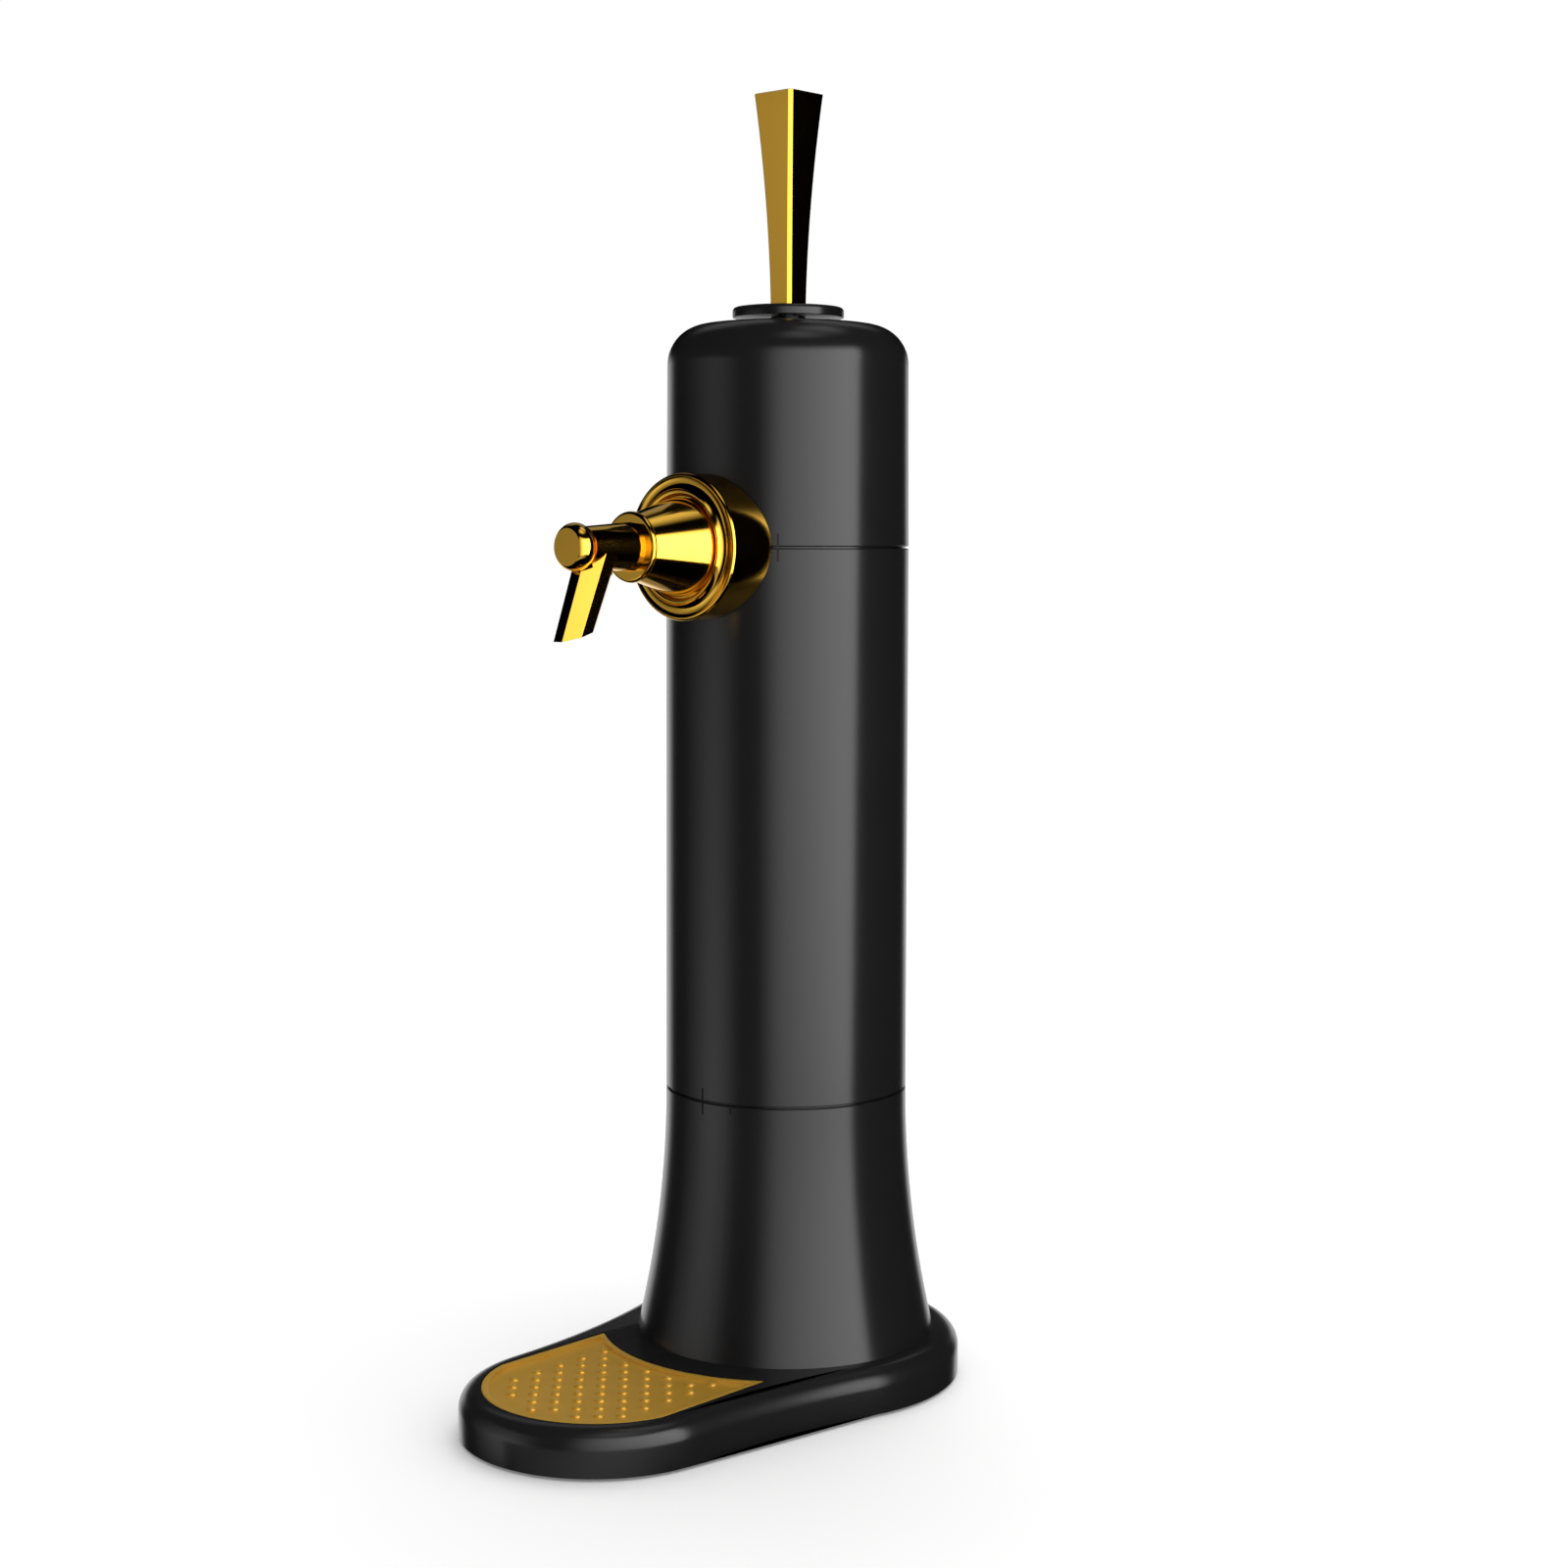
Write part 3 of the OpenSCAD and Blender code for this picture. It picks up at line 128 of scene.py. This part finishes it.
# Each finish is named for the real material and for how its surface was made.
FINISHES = {
    # ABS from a polished tool: nearly black, with soft-edged reflections
    "body_black": finish("satin_moulded_abs", "#1b1b1c", "#1e1e1f", (0.19, 0.24),
                         mottle=35.0, grain=0.35, relief=0.0012),
    # ABS from an eroded tool: dull charcoal with a visible grain
    "inner_black": finish("matt_eroded_abs", "#232324", "#2a2a2b", (0.55, 0.68),
                          mottle=12.0, grain=0.6, relief=0.012),
    # Plated ABS: a warm mirror with the faint waviness of the moulding under it
    "gold_plated": finish("gold_plated_abs", "#f4bc44", "#fac64e", (0.07, 0.12), metallic=1.0,
                          mottle=18.0, grain=5.0, relief=0.004),
    # Pressed sheet in gold metallic lacquer: satin, and yellow even where it mirrors nothing bright
    "gold_tray": finish("gold_metallic_lacquer", "#d8a638", "#e2b244", (0.34, 0.42), metallic=0.45,
                        mottle=9.0, grain=0.7, relief=0.004),
    # Compression-moulded rubber: black and dull
    "black_rubber": finish("moulded_black_rubber", "#141414", "#1c1c1c", (0.78, 0.9),
                           mottle=6.0, grain=0.5, relief=0.015),
    # Cast silicone: milky, with a soft sheen
    "silicone": finish("cast_silicone", "#d8d8d2", "#e6e6e0", (0.36, 0.46), mottle=8.0, grain=1.2,
                       relief=0.004, ior=1.41),
    # Moulded polypropylene without pigment: waxy white
    "white_plastic": finish("natural_polypropylene", "#dedcd4", "#ecebe4", (0.3, 0.4), mottle=14.0,
                            grain=0.9, relief=0.004, ior=1.49),
    # Zinc-plated steel: pale grey and lightly clouded
    "steel": finish("zinc_plated_steel", "#a9adb2", "#c3c7cc", (0.22, 0.36), metallic=1.0, mottle=3.0,
                    grain=0.4, relief=0.002),
    # Deep-drawn metal can with its draw lines upright
    "motor_can": finish("deep_drawn_can", "#9fa2a6", "#b9bcc0", (0.2, 0.34), metallic=1.0, mottle=8.0,
                        grain=0.5, relief=0.003, stretch=(1.0, 1.0, 0.08)),
    # Shrink film over a battery cell: smooth grey with a foil gleam
    "cell_wrap": finish("shrink_film", "#4a4c50", "#63666b", (0.18, 0.26), metallic=0.6, mottle=15.0,
                        grain=2.0, relief=0.004),
    # Solder mask on glass-fibre board: green, with the weave just showing
    "board_green": finish("solder_mask_board", "#1d5a30", "#2c7443", (0.28, 0.38), mottle=2.5,
                          grain=0.8, relief=0.006),
    # Filled thermoset of small electrical cases: charcoal and dull
    "component_black": finish("thermoset_case", "#1a1a1b", "#262628", (0.5, 0.62), mottle=4.0,
                              grain=0.4, relief=0.008),
    # Moulded acetal: a slick coloured plastic
    "plunger_red": finish("red_acetal", "#a83a28", "#ba4731", (0.28, 0.36), mottle=3.0, grain=0.5,
                          relief=0.003),
}
# Black pad-printing ink of the alignment marks: flat and slightly proud
INK = finish("pad_printing_ink", "#040404", "#070707", (0.6, 0.7), mottle=1.5, grain=0.2, relief=0.002)

SLOT_OF = {part["node"]: part["material_slot"] for part in frame["record"]["subparts"]}
for name, solid in NODES.items():
    for cell in solid.material_slots:
        cell.material = FINISHES[SLOT_OF[name]]


def piece(name, mesh, body, slot, material=None):
    """Puts a finished mesh into the scene at the origin, to ride on a body with a slot's finish."""
    made = bpy.data.objects.new(name, mesh)
    bpy.context.scene.collection.objects.link(made)
    if not mesh.materials:
        mesh.materials.append(material or FINISHES[slot])
    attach(made, body)
    return made


def body_of(node):
    """The moving body that a node belongs to."""
    return next(body for body, members in frame["record"]["behaviour"]["bodies"].items() if node in members)


def settled(name, shape):
    """Turns a bmesh into a mesh and frees it."""
    mesh = bpy.data.meshes.new(name)
    shape.to_mesh(mesh)
    shape.free()
    return mesh


def shade(mesh, crease):
    """Shades a mesh smooth, apart from edges that turn by more than the crease in degrees."""
    for face in mesh.polygons:
        face.use_smooth = True
    mesh.set_sharp_from_angle(angle=math.radians(crease))


def skin(node, crease, bevel=0.0):
    """Stands in for a node with the same form: one closed skin, smooth up to its creases, edges eased."""
    weld, sliver, flat = 0.002 * MM, 0.001 * MM, math.radians(0.2)
    shell = bmesh.new()
    shell.from_mesh(NODES[node].data)
    bmesh.ops.remove_doubles(shell, verts=shell.verts, dist=weld)
    bmesh.ops.dissolve_degenerate(shell, dist=sliver, edges=shell.edges)
    bmesh.ops.dissolve_limit(shell, angle_limit=flat, verts=shell.verts, edges=shell.edges)
    mesh = settled(node + "_skin", shell)
    # The solid's own normals no longer fit the cleaned faces
    if "custom_normal" in mesh.attributes:
        mesh.attributes.remove(mesh.attributes["custom_normal"])
    shade(mesh, crease)
    made = piece(node + "_skin", mesh, body_of(node), SLOT_OF[node])
    if bevel:
        ease = made.modifiers.new("eased_edges", "BEVEL")
        ease.width = bevel * MM
        ease.segments = 2
        ease.limit_method = "ANGLE"
        ease.angle_limit = math.radians(crease)
        ease.harden_normals = True
    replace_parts(made, node)


# The angle in degrees past which an edge stays sharp, and the width of its easing in millimetres
skin("base_cover", 30)
skin("handle", 20, 0.15)
skin("drip_tray", 30, 0.5)
skin("nozzle", 20, 0.2)


def rounded_cover():
    """Stands in for the sliding cover: the same disc with its bevel moulded round, on a low hub."""
    hub_r, hub_h = 6.5, 0.4
    edge_r, edge_steps = 1.5, 6
    foot_ease, dish_ease, dish_drop = 0.2, 0.3, 0.5
    around = 128
    profile = [(COVER_HOLE_R, 0), (hub_r, 0), (hub_r, hub_h), (COVER_R - foot_ease, hub_h),
               (COVER_R, hub_h + foot_ease)]
    for step in range(edge_steps + 1):
        a = math.pi / 2 * step / edge_steps
        profile.append((COVER_R - edge_r * (1 - math.cos(a)), COVER_RIM_H - edge_r + edge_r * math.sin(a)))
    profile += [(COVER_DISH_R + dish_ease, COVER_H - dish_ease), (COVER_DISH_R, COVER_H - dish_drop),
                (COVER_DISH_R, COVER_FLOOR_H), (COVER_HOLE_R, COVER_FLOOR_H)]
    disc = bmesh.new()
    turns = [2 * math.pi * k / around for k in range(around)]
    rings = [[disc.verts.new((r * math.cos(a) * MM, (TOWER_Y + r * math.sin(a)) * MM, (COVER_Z + z) * MM))
              for a in turns] for r, z in profile]
    for ring, after in zip(rings, rings[1:] + rings[:1]):
        for k in range(around):
            n = (k + 1) % around
            disc.faces.new((ring[k], ring[n], after[n], after[k]))
    bmesh.ops.recalc_face_normals(disc, faces=disc.faces)
    mesh = settled("slot_cover_skin", disc)
    shade(mesh, crease=30)
    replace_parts(piece("slot_cover_skin", mesh, body_of("slot_cover"), SLOT_OF["slot_cover"]), "slot_cover")


rounded_cover()


def grow(name, tree, sizes):
    """The mesh that a Geometry Nodes tree makes from its named sizes."""
    carrier = bpy.data.objects.new(name, bpy.data.meshes.new(name))
    bpy.context.scene.collection.objects.link(carrier)
    maker = carrier.modifiers.new("grow", "NODES")
    maker.node_group = tree
    for socket in tree.interface.items_tree:
        if socket.in_out == "INPUT":
            maker[socket.identifier] = sizes[socket.name]
    shape = carrier.evaluated_get(bpy.context.evaluated_depsgraph_get())
    mesh = bpy.data.meshes.new_from_object(shape)
    mesh.name = name
    bpy.data.objects.remove(carrier)
    return mesh


def tray_bumps():
    """Low round bumps pressed up from the tray's floor, in a square grid turned by an eighth of a turn."""
    across = 25
    sizes = {"Pitch": 8.0 * MM, "Bump Radius": 1.9 * MM, "Bump Height": 1.2 * MM,
             "Half Width": TRAY_HALF * MM, "Front Radius": TRAY_ARC_R * MM, "Back Radius": TRAY_BACK_R * MM,
             "Rim Margin": 9.2 * MM, "Back Margin": 3.4 * MM}
    tree = bpy.data.node_groups.new("tray_bumps", "GeometryNodeTree")
    tree.interface.new_socket("Mesh", in_out="OUTPUT", socket_type="NodeSocketGeometry")
    for name in sizes:
        tree.interface.new_socket(name, in_out="INPUT", socket_type="NodeSocketFloat")
    size = add(tree, "NodeGroupInput").outputs
    side = add(tree, "ShaderNodeMath", {0: size["Pitch"], 1: across - 1.0}, operation="MULTIPLY").outputs[0]
    grid = add(tree, "GeometryNodeMeshGrid", {"Size X": side, "Size Y": side, "Vertices X": across,
                                              "Vertices Y": across})
    turned = add(tree, "GeometryNodeTransform",
                 {"Geometry": grid.outputs["Mesh"], "Rotation": (0, 0, math.pi / 4),
                  "Translation": (0, TRAY_ARC_Y * MM, TRAY_FLOOR * MM)})
    spot = add(tree, "ShaderNodeSeparateXYZ", {0: add(tree, "GeometryNodeInputPosition").outputs[0]}).outputs
    off_side = add(tree, "ShaderNodeMath", {0: spot["X"]}, operation="ABSOLUTE").outputs[0]
    past_middle = add(tree, "ShaderNodeMath", {0: spot["Y"], 1: TRAY_ARC_Y * MM}, operation="SUBTRACT")
    ahead = add(tree, "ShaderNodeMath", {0: past_middle.outputs[0], 1: 0.0}, operation="MINIMUM").outputs[0]
    from_tower = add(tree, "ShaderNodeMath", {0: spot["Y"], 1: TOWER_Y * MM}, operation="SUBTRACT").outputs[0]
    room = None
    for edge, along, sign, margin in (("Half Width", None, 1.0, "Rim Margin"),
                                      ("Front Radius", ahead, 1.0, "Rim Margin"),
                                      ("Back Radius", from_tower, -1.0, "Back Margin")):
        reach = off_side
        if along is not None:
            flat = add(tree, "ShaderNodeCombineXYZ", {"X": spot["X"], "Y": along})
            reach = add(tree, "ShaderNodeVectorMath", {0: flat.outputs[0]},
                        operation="LENGTH").outputs["Value"]
        inside = add(tree, "ShaderNodeMath", {0: size[edge], 1: reach}, operation="SUBTRACT").outputs[0]
        inside = add(tree, "ShaderNodeMath", {0: inside, 1: sign}, operation="MULTIPLY").outputs[0]
        inside = add(tree, "ShaderNodeMath", {0: inside, 1: size[margin]}, operation="SUBTRACT").outputs[0]
        room = inside if room is None else add(tree, "ShaderNodeMath", {0: room, 1: inside},
                                               operation="MINIMUM").outputs[0]
    fits = add(tree, "ShaderNodeMath", {0: room, 1: 0.0}, operation="GREATER_THAN").outputs[0]
    kept = add(tree, "GeometryNodeSeparateGeometry", {"Geometry": turned.outputs[0], "Selection": fits})
    ball = add(tree, "GeometryNodeMeshUVSphere", {"Segments": 14, "Rings": 8, "Radius": size["Bump Radius"]})
    squat = add(tree, "ShaderNodeMath", {0: size["Bump Height"], 1: size["Bump Radius"]}, operation="DIVIDE")
    squash = add(tree, "ShaderNodeCombineXYZ", {"X": 1.0, "Y": 1.0, "Z": squat.outputs[0]})
    dome = add(tree, "GeometryNodeTransform", {"Geometry": ball.outputs["Mesh"], "Scale": squash.outputs[0]})
    domes = add(tree, "GeometryNodeInstanceOnPoints",
                {"Points": kept.outputs["Selection"], "Instance": dome.outputs[0]})
    real = add(tree, "GeometryNodeRealizeInstances", {"Geometry": domes.outputs[0]})
    smooth = add(tree, "GeometryNodeSetShadeSmooth", {"Geometry": real.outputs[0]})
    gilt = add(tree, "GeometryNodeSetMaterial",
               {"Geometry": smooth.outputs[0], "Material": FINISHES["gold_tray"]})
    add(tree, "NodeGroupOutput", {"Mesh": gilt.outputs[0]})
    piece("tray_bumps", grow("tray_bumps", tree, sizes), "tray", "gold_tray")


tray_bumps()


def barrel_face(z):
    """Outer radius of the tower at a height, from the head's draft down to the first of the flare."""
    if z > UPPER_SEAM:
        return TOWER_R - HEAD_DRAFT * (z - UPPER_SEAM) / HEAD_SIDE
    if z > LOWER_SEAM:
        return BARREL_FOOT_R + (TOWER_R - BARREL_FOOT_R) * (z - LOWER_SEAM) / (UPPER_SEAM - LOWER_SEAM)
    return BARREL_FOOT_R + (LOWER_SEAM - z) ** 2 / (2 * FLARE_ARC_R)


def seam_mark(name, body, turn, low, high, width=0.8, proud=0.04, sunk=0.1):
    """A short upright line of ink on the tower, turned from the front towards +X, closed all round."""
    levels = 4
    strip = bmesh.new()
    rows = []
    for level in range(levels + 1):
        z = low + (high - low) * level / levels
        face = barrel_face(z)
        row = []
        for r, side in ((face - sunk, -1), (face + proud, -1), (face + proud, 0), (face + proud, 1),
                        (face - sunk, 1)):
            a = math.radians(turn) + side * width / 2 / face
            row.append(strip.verts.new((r * math.sin(a) * MM, (TOWER_Y - r * math.cos(a)) * MM, z * MM)))
        rows.append(row)
    for under, over in zip(rows, rows[1:]):
        for k in range(len(under)):
            n = (k + 1) % len(under)
            strip.faces.new((under[k], under[n], over[n], over[k]))
    strip.faces.new(rows[0][::-1])
    strip.faces.new(rows[-1])
    bmesh.ops.recalc_face_normals(strip, faces=strip.faces)
    piece(name, settled(name, strip), body, "body_black", INK)


# Lines across each seam show where the parts meet, and a short one where the barrel comes free. Places are in
# degrees from the front, and reaches in millimetres from the seam's middle.
HALF_SEAM = SEAM_GAP / 2
UPPER_MARK_AT, LOWER_MARK_AT, RELEASE_MARK_AT = 38.0, 0.0, 16.0
MARK_REACH, SHORT_REACH = 5.0, 3.4
seam_mark("upper_mark_head", "head", UPPER_MARK_AT, UPPER_SEAM + HALF_SEAM, UPPER_SEAM + MARK_REACH)
seam_mark("upper_mark_barrel", "barrel", UPPER_MARK_AT, UPPER_SEAM - MARK_REACH, UPPER_SEAM - HALF_SEAM)
seam_mark("lower_mark_barrel", "barrel", LOWER_MARK_AT, LOWER_SEAM + HALF_SEAM, LOWER_SEAM + MARK_REACH)
seam_mark("lower_mark_pedestal", "base", LOWER_MARK_AT, LOWER_SEAM - MARK_REACH, LOWER_SEAM - HALF_SEAM)
seam_mark("release_mark_pedestal", "base", RELEASE_MARK_AT, LOWER_SEAM - SHORT_REACH, LOWER_SEAM - HALF_SEAM)

# Camera: the photograph's viewpoint in metres, its angles in degrees and its lens in millimetres
CAMERA_AT = Vector((656.836, -719.867 + TOWER_Y, 321.677)) * MM
CAMERA_TURN = 42.379
CAMERA_PAN = -0.064
CAMERA_TILT = 5.418
CAMERA_ROLL = 0.16
LENS = 58.65
SENSOR = 36.0


def studio_camera():
    """The camera: turned to the tower, then panned, tilted down and rolled."""
    turn, pan, tilt, roll = (math.radians(a) for a in (CAMERA_TURN, CAMERA_PAN, CAMERA_TILT, CAMERA_ROLL))
    up = Vector((0, 0, 1))
    ahead = Vector((-math.sin(turn), math.cos(turn), 0))
    right = Vector((math.cos(turn), math.sin(turn), 0))
    ahead, right = (ahead * math.cos(pan) + right * math.sin(pan),
                    right * math.cos(pan) - ahead * math.sin(pan))
    ahead, up = ahead * math.cos(tilt) - up * math.sin(tilt), up * math.cos(tilt) + ahead * math.sin(tilt)
    right, up = right * math.cos(roll) + up * math.sin(roll), up * math.cos(roll) - right * math.sin(roll)
    data = bpy.data.cameras.new("studio_camera")
    data.lens = LENS
    data.sensor_width = SENSOR
    data.clip_start = 0.01
    made = bpy.data.objects.new("studio_camera", data)
    made.matrix_world = Matrix((right, up, -ahead)).transposed().to_4x4()
    made.location = CAMERA_AT
    bpy.context.scene.collection.objects.link(made)
    bpy.context.scene.camera = made


studio_camera()

# Studio light. Angles are in degrees round the tower, to the right of the camera, or up from the horizon.
# Each curved panel: its distance in metres, its brightness by angle round the tower, its share of that by
# height in metres, and how far its right end leans outwards from foot to top
KEY_REACH = 0.65
KEY_ROUND = [(-26, 0.0), (-21, 0.25), (-15, 0.72), (-8, 1.25), (2, 1.73), (20, 2.35), (40, 3.0), (55, 3.4),
             (74, 3.4)]
KEY_UP = [(-0.08, 0.86), (0.06, 0.93), (0.24, 1.0), (0.43, 1.04), (0.66, 1.04), (0.83, 0.0)]
KEY_LEAN = 12
FILL_REACH = 1.0
FILL_ROUND = [(-110, 0.0), (-100, 0.06), (-89, 0.15), (-81, 0.26), (-72, 0.32), (-64, 0.31), (-55, 0.18),
              (-45, 0.0)]
FILL_UP = [(-0.3, 2.75), (-0.15, 2.65), (-0.02, 2.3), (0.1, 1.85), (0.22, 1.7), (0.35, 1.25), (0.455, 1.0),
           (0.478, 1.9), (0.525, 1.9), (0.55, 0.0)]
# A dim card below the table's edge that only the plinth mirrors
CARD_REACH = 0.65
CARD_ROUND = [(-70, 0.0), (-40, 0.3), (-10, 0.5), (15, 0.4), (45, 0.0)]
CARD_UP = [(-0.34, 1.0), (-0.1, 1.0)]
# The studio's even light by angle round, and what gloss alone shows of the room: the white wall behind the
# tower and the dim ceiling, each by angle round and by angle up
ROOM_ROUND = [(-180, 1.0), (-140, 0.75), (-95, 0.4), (-50, 0.5), (0, 0.9), (60, 1.15), (120, 1.15),
              (180, 1.0)]
WALL_ROUND = [(-150, 1.0), (-138, 0.0), (148, 0.0), (156, 1.0)]
WALL_UP = [(-70, 0.25), (-40, 0.25), (-24, 1.0), (3, 1.0), (9, 0.0), (30, 0.0), (38, 0.3), (50, 0.3),
           (60, 0.0)]
CEILING_ROUND = [(-25, 0.0), (0, 0.6), (25, 0.95), (45, 0.8), (75, 0.3), (95, 0.5), (115, 0.8), (140, 0.8),
                 (165, 0.0)]
CEILING_UP = [(57, 0.0), (66, 1.0), (80, 1.0), (86, 0.0)]
WHOLE_TURN = (-180, 180)


def ramp_of(tree, value, stops, span, peak=1.0):
    """A colour ramp over a share of a span, with each stop's level as a share of the peak."""
    ramp = add(tree, "ShaderNodeValToRGB", {"Fac": value})
    marks = ramp.color_ramp.elements
    while len(marks) < len(stops):
        marks.new(0.5)
    for mark, (at, level) in zip(marks, stops):
        mark.position = (at - span[0]) / (span[1] - span[0])
        mark.color = (level / peak,) * 3 + (1,)
    return ramp.outputs["Color"]


def angle_round(tree, way):
    """A vector's angle round the tower, as a share of the whole turn from straight behind it."""
    turn = math.radians(CAMERA_TURN)
    near = add(tree, "ShaderNodeVectorMath", {0: way, 1: (math.sin(turn), -math.cos(turn), 0)},
               operation="DOT_PRODUCT")
    side = add(tree, "ShaderNodeVectorMath", {0: way, 1: (math.cos(turn), math.sin(turn), 0)},
               operation="DOT_PRODUCT")
    angle = add(tree, "ShaderNodeMath", {0: side.outputs["Value"], 1: near.outputs["Value"]},
                operation="ARCTAN2")
    share = add(tree, "ShaderNodeMapRange",
                {"Value": angle.outputs["Value"], "From Min": -math.pi, "From Max": math.pi})
    return share.outputs["Result"]


def studio_panel(name, reach, stops, rise, lean=0.0):
    """A glowing cloth screen that stands round the tower, seen in its gloss and not by the camera."""
    steps = 40
    foot, top = rise[0][0], rise[-1][0]
    first, last = stops[0][0], stops[-1][0]
    corners = []
    for k in range(steps + 1):
        for z, end in ((foot, last - lean), (top, last)):
            a = math.radians(first + (end - first) * k / steps + CAMERA_TURN)
            corners.append((reach * math.sin(a), TOWER_Y * MM - reach * math.cos(a), z))
    mesh = bpy.data.meshes.new(name)
    mesh.from_pydata(corners, [], [(2 * k, 2 * k + 1, 2 * k + 3, 2 * k + 2) for k in range(steps)])
    cloth = bpy.data.materials.new(name + "_cloth")
    cloth.use_nodes = True
    tree = cloth.node_tree
    tree.nodes.clear()
    place = add(tree, "ShaderNodeTexCoord").outputs["Object"]
    round_tower = add(tree, "ShaderNodeMapping", {"Vector": place, "Location": (0, -TOWER_Y * MM, 0)})
    brightest, tallest = (max(level for _, level in levels) for levels in (stops, rise))
    tint = ramp_of(tree, angle_round(tree, round_tower.outputs["Vector"]), stops, WHOLE_TURN, brightest)
    height = add(tree, "ShaderNodeSeparateXYZ", {"Vector": place})
    share = add(tree, "ShaderNodeMapRange", {"Value": height.outputs["Z"], "From Min": foot, "From Max": top})
    strength = add(tree, "ShaderNodeMath",
                   {0: ramp_of(tree, share.outputs["Result"], rise, (foot, top), tallest),
                    1: brightest * tallest}, operation="MULTIPLY")
    glow = add(tree, "ShaderNodeEmission", {"Color": tint, "Strength": strength.outputs["Value"]})
    add(tree, "ShaderNodeOutputMaterial", {"Surface": glow.outputs["Emission"]})
    mesh.materials.append(cloth)
    made = bpy.data.objects.new(name, mesh)
    bpy.context.scene.collection.objects.link(made)
    made.visible_camera = False
    made.visible_diffuse = False
    made.visible_shadow = False


studio_panel("key_panel", KEY_REACH, KEY_ROUND, KEY_UP, KEY_LEAN)
studio_panel("fill_panel", FILL_REACH, FILL_ROUND, FILL_UP)
studio_panel("plinth_card", CARD_REACH, CARD_ROUND, CARD_UP)


def studio_world():
    """White behind everything for the camera, an even room for matt light, and wall and ceiling for gloss."""
    world = bpy.data.worlds.new("studio")
    bpy.context.scene.world = world
    # Found by rays from the surfaces alone, so that gloss never picks up the even light
    world.cycles.sampling_method = "NONE"
    world.use_nodes = True
    tree = world.node_tree
    tree.nodes.clear()
    way = add(tree, "ShaderNodeTexCoord").outputs["Generated"]
    turn = angle_round(tree, way)
    up = add(tree, "ShaderNodeSeparateXYZ", {"Vector": way})
    angle = add(tree, "ShaderNodeMath", {0: up.outputs["Z"]}, operation="ARCSINE")
    rise = add(tree, "ShaderNodeMapRange",
               {"Value": angle.outputs["Value"], "From Min": -math.pi, "From Max": math.pi})
    light = 0.0
    for by_turn, by_rise in ((WALL_ROUND, WALL_UP), (CEILING_ROUND, CEILING_UP)):
        light = add(tree, "ShaderNodeMath",
                    {0: ramp_of(tree, turn, by_turn, WHOLE_TURN),
                     1: ramp_of(tree, rise.outputs["Result"], by_rise, WHOLE_TURN), 2: light},
                    operation="MULTIPLY_ADD").outputs["Value"]
    gloss = add(tree, "ShaderNodeBackground", {"Color": (1, 1, 1, 1), "Strength": light})
    rays = add(tree, "ShaderNodeLightPath").outputs
    plain = add(tree, "ShaderNodeMath", {0: ramp_of(tree, turn, ROOM_ROUND, WHOLE_TURN),
                                         1: rays["Is Camera Ray"]}, operation="MAXIMUM")
    room = add(tree, "ShaderNodeBackground", {"Color": (1, 1, 1, 1), "Strength": plain.outputs["Value"]})
    both = add(tree, "ShaderNodeMixShader", {0: rays["Is Glossy Ray"], 1: room.outputs["Background"],
                                             2: gloss.outputs["Background"]})
    add(tree, "ShaderNodeOutputWorld", {"Surface": both.outputs["Shader"]})


studio_world()


def studio_floor():
    """A wide white floor that keeps the tower's shadow, with painted shade close round the tower."""
    reach = 6.0
    near, far, near_lift, far_lift = 0.15, 0.7, 0.12, 0.22
    mesh = bpy.data.meshes.new("floor")
    mesh.from_pydata([(-reach, -reach, 0), (reach, -reach, 0), (reach, reach, 0), (-reach, reach, 0)], [],
                     [(0, 1, 2, 3)])
    made = bpy.data.objects.new("floor", mesh)
    bpy.context.scene.collection.objects.link(made)
    # White matt paint, lifted to plain white by a glow for the camera only, and further from the tower more:
    # the weaker glow near the tower paints shade round it on top of the real shadow, and the far edge is lost
    # in the white behind it
    paint = bpy.data.materials.new("white_floor_paint")
    paint.use_nodes = True
    tree = paint.node_tree
    tree.nodes.clear()
    matt = add(tree, "ShaderNodeBsdfDiffuse", {"Color": linear("#fafafa")})
    place = add(tree, "ShaderNodeTexCoord").outputs["Object"]
    away = add(tree, "ShaderNodeVectorMath", {0: place}, operation="LENGTH")
    fade = add(tree, "ShaderNodeMapRange", {"Value": away.outputs["Value"], "From Min": near, "From Max": far,
                                            "To Min": near_lift, "To Max": far_lift})
    rays = add(tree, "ShaderNodeLightPath")
    lift = add(tree, "ShaderNodeMath", {0: rays.outputs["Is Camera Ray"], 1: fade.outputs["Result"]},
               operation="MULTIPLY")
    glow = add(tree, "ShaderNodeEmission", {"Strength": lift.outputs["Value"]})
    both = add(tree, "ShaderNodeAddShader", {0: matt.outputs["BSDF"], 1: glow.outputs["Emission"]})
    add(tree, "ShaderNodeOutputMaterial", {"Surface": both.outputs["Shader"]})
    mesh.materials.append(paint)
    made.visible_glossy = False


studio_floor()


def soft_lamp(name, place, aim, width, watts):
    """A large square lamp that lights but isn't mirrored."""
    data = bpy.data.lights.new(name, "AREA")
    data.shape = "SQUARE"
    data.size = width
    data.energy = watts
    made = bpy.data.objects.new(name, data)
    made.location = place
    made.rotation_euler = (Vector(aim) - Vector(place)).to_track_quat("-Z", "Y").to_euler()
    made.visible_glossy = False
    bpy.context.scene.collection.objects.link(made)


soft_lamp("overhead_softbox", place=(-0.55, 0.87, 1.9), aim=(0.0, 0.0, 0.1), width=1.2, watts=8.5)

bpy.context.scene.view_settings.view_transform = "Standard"
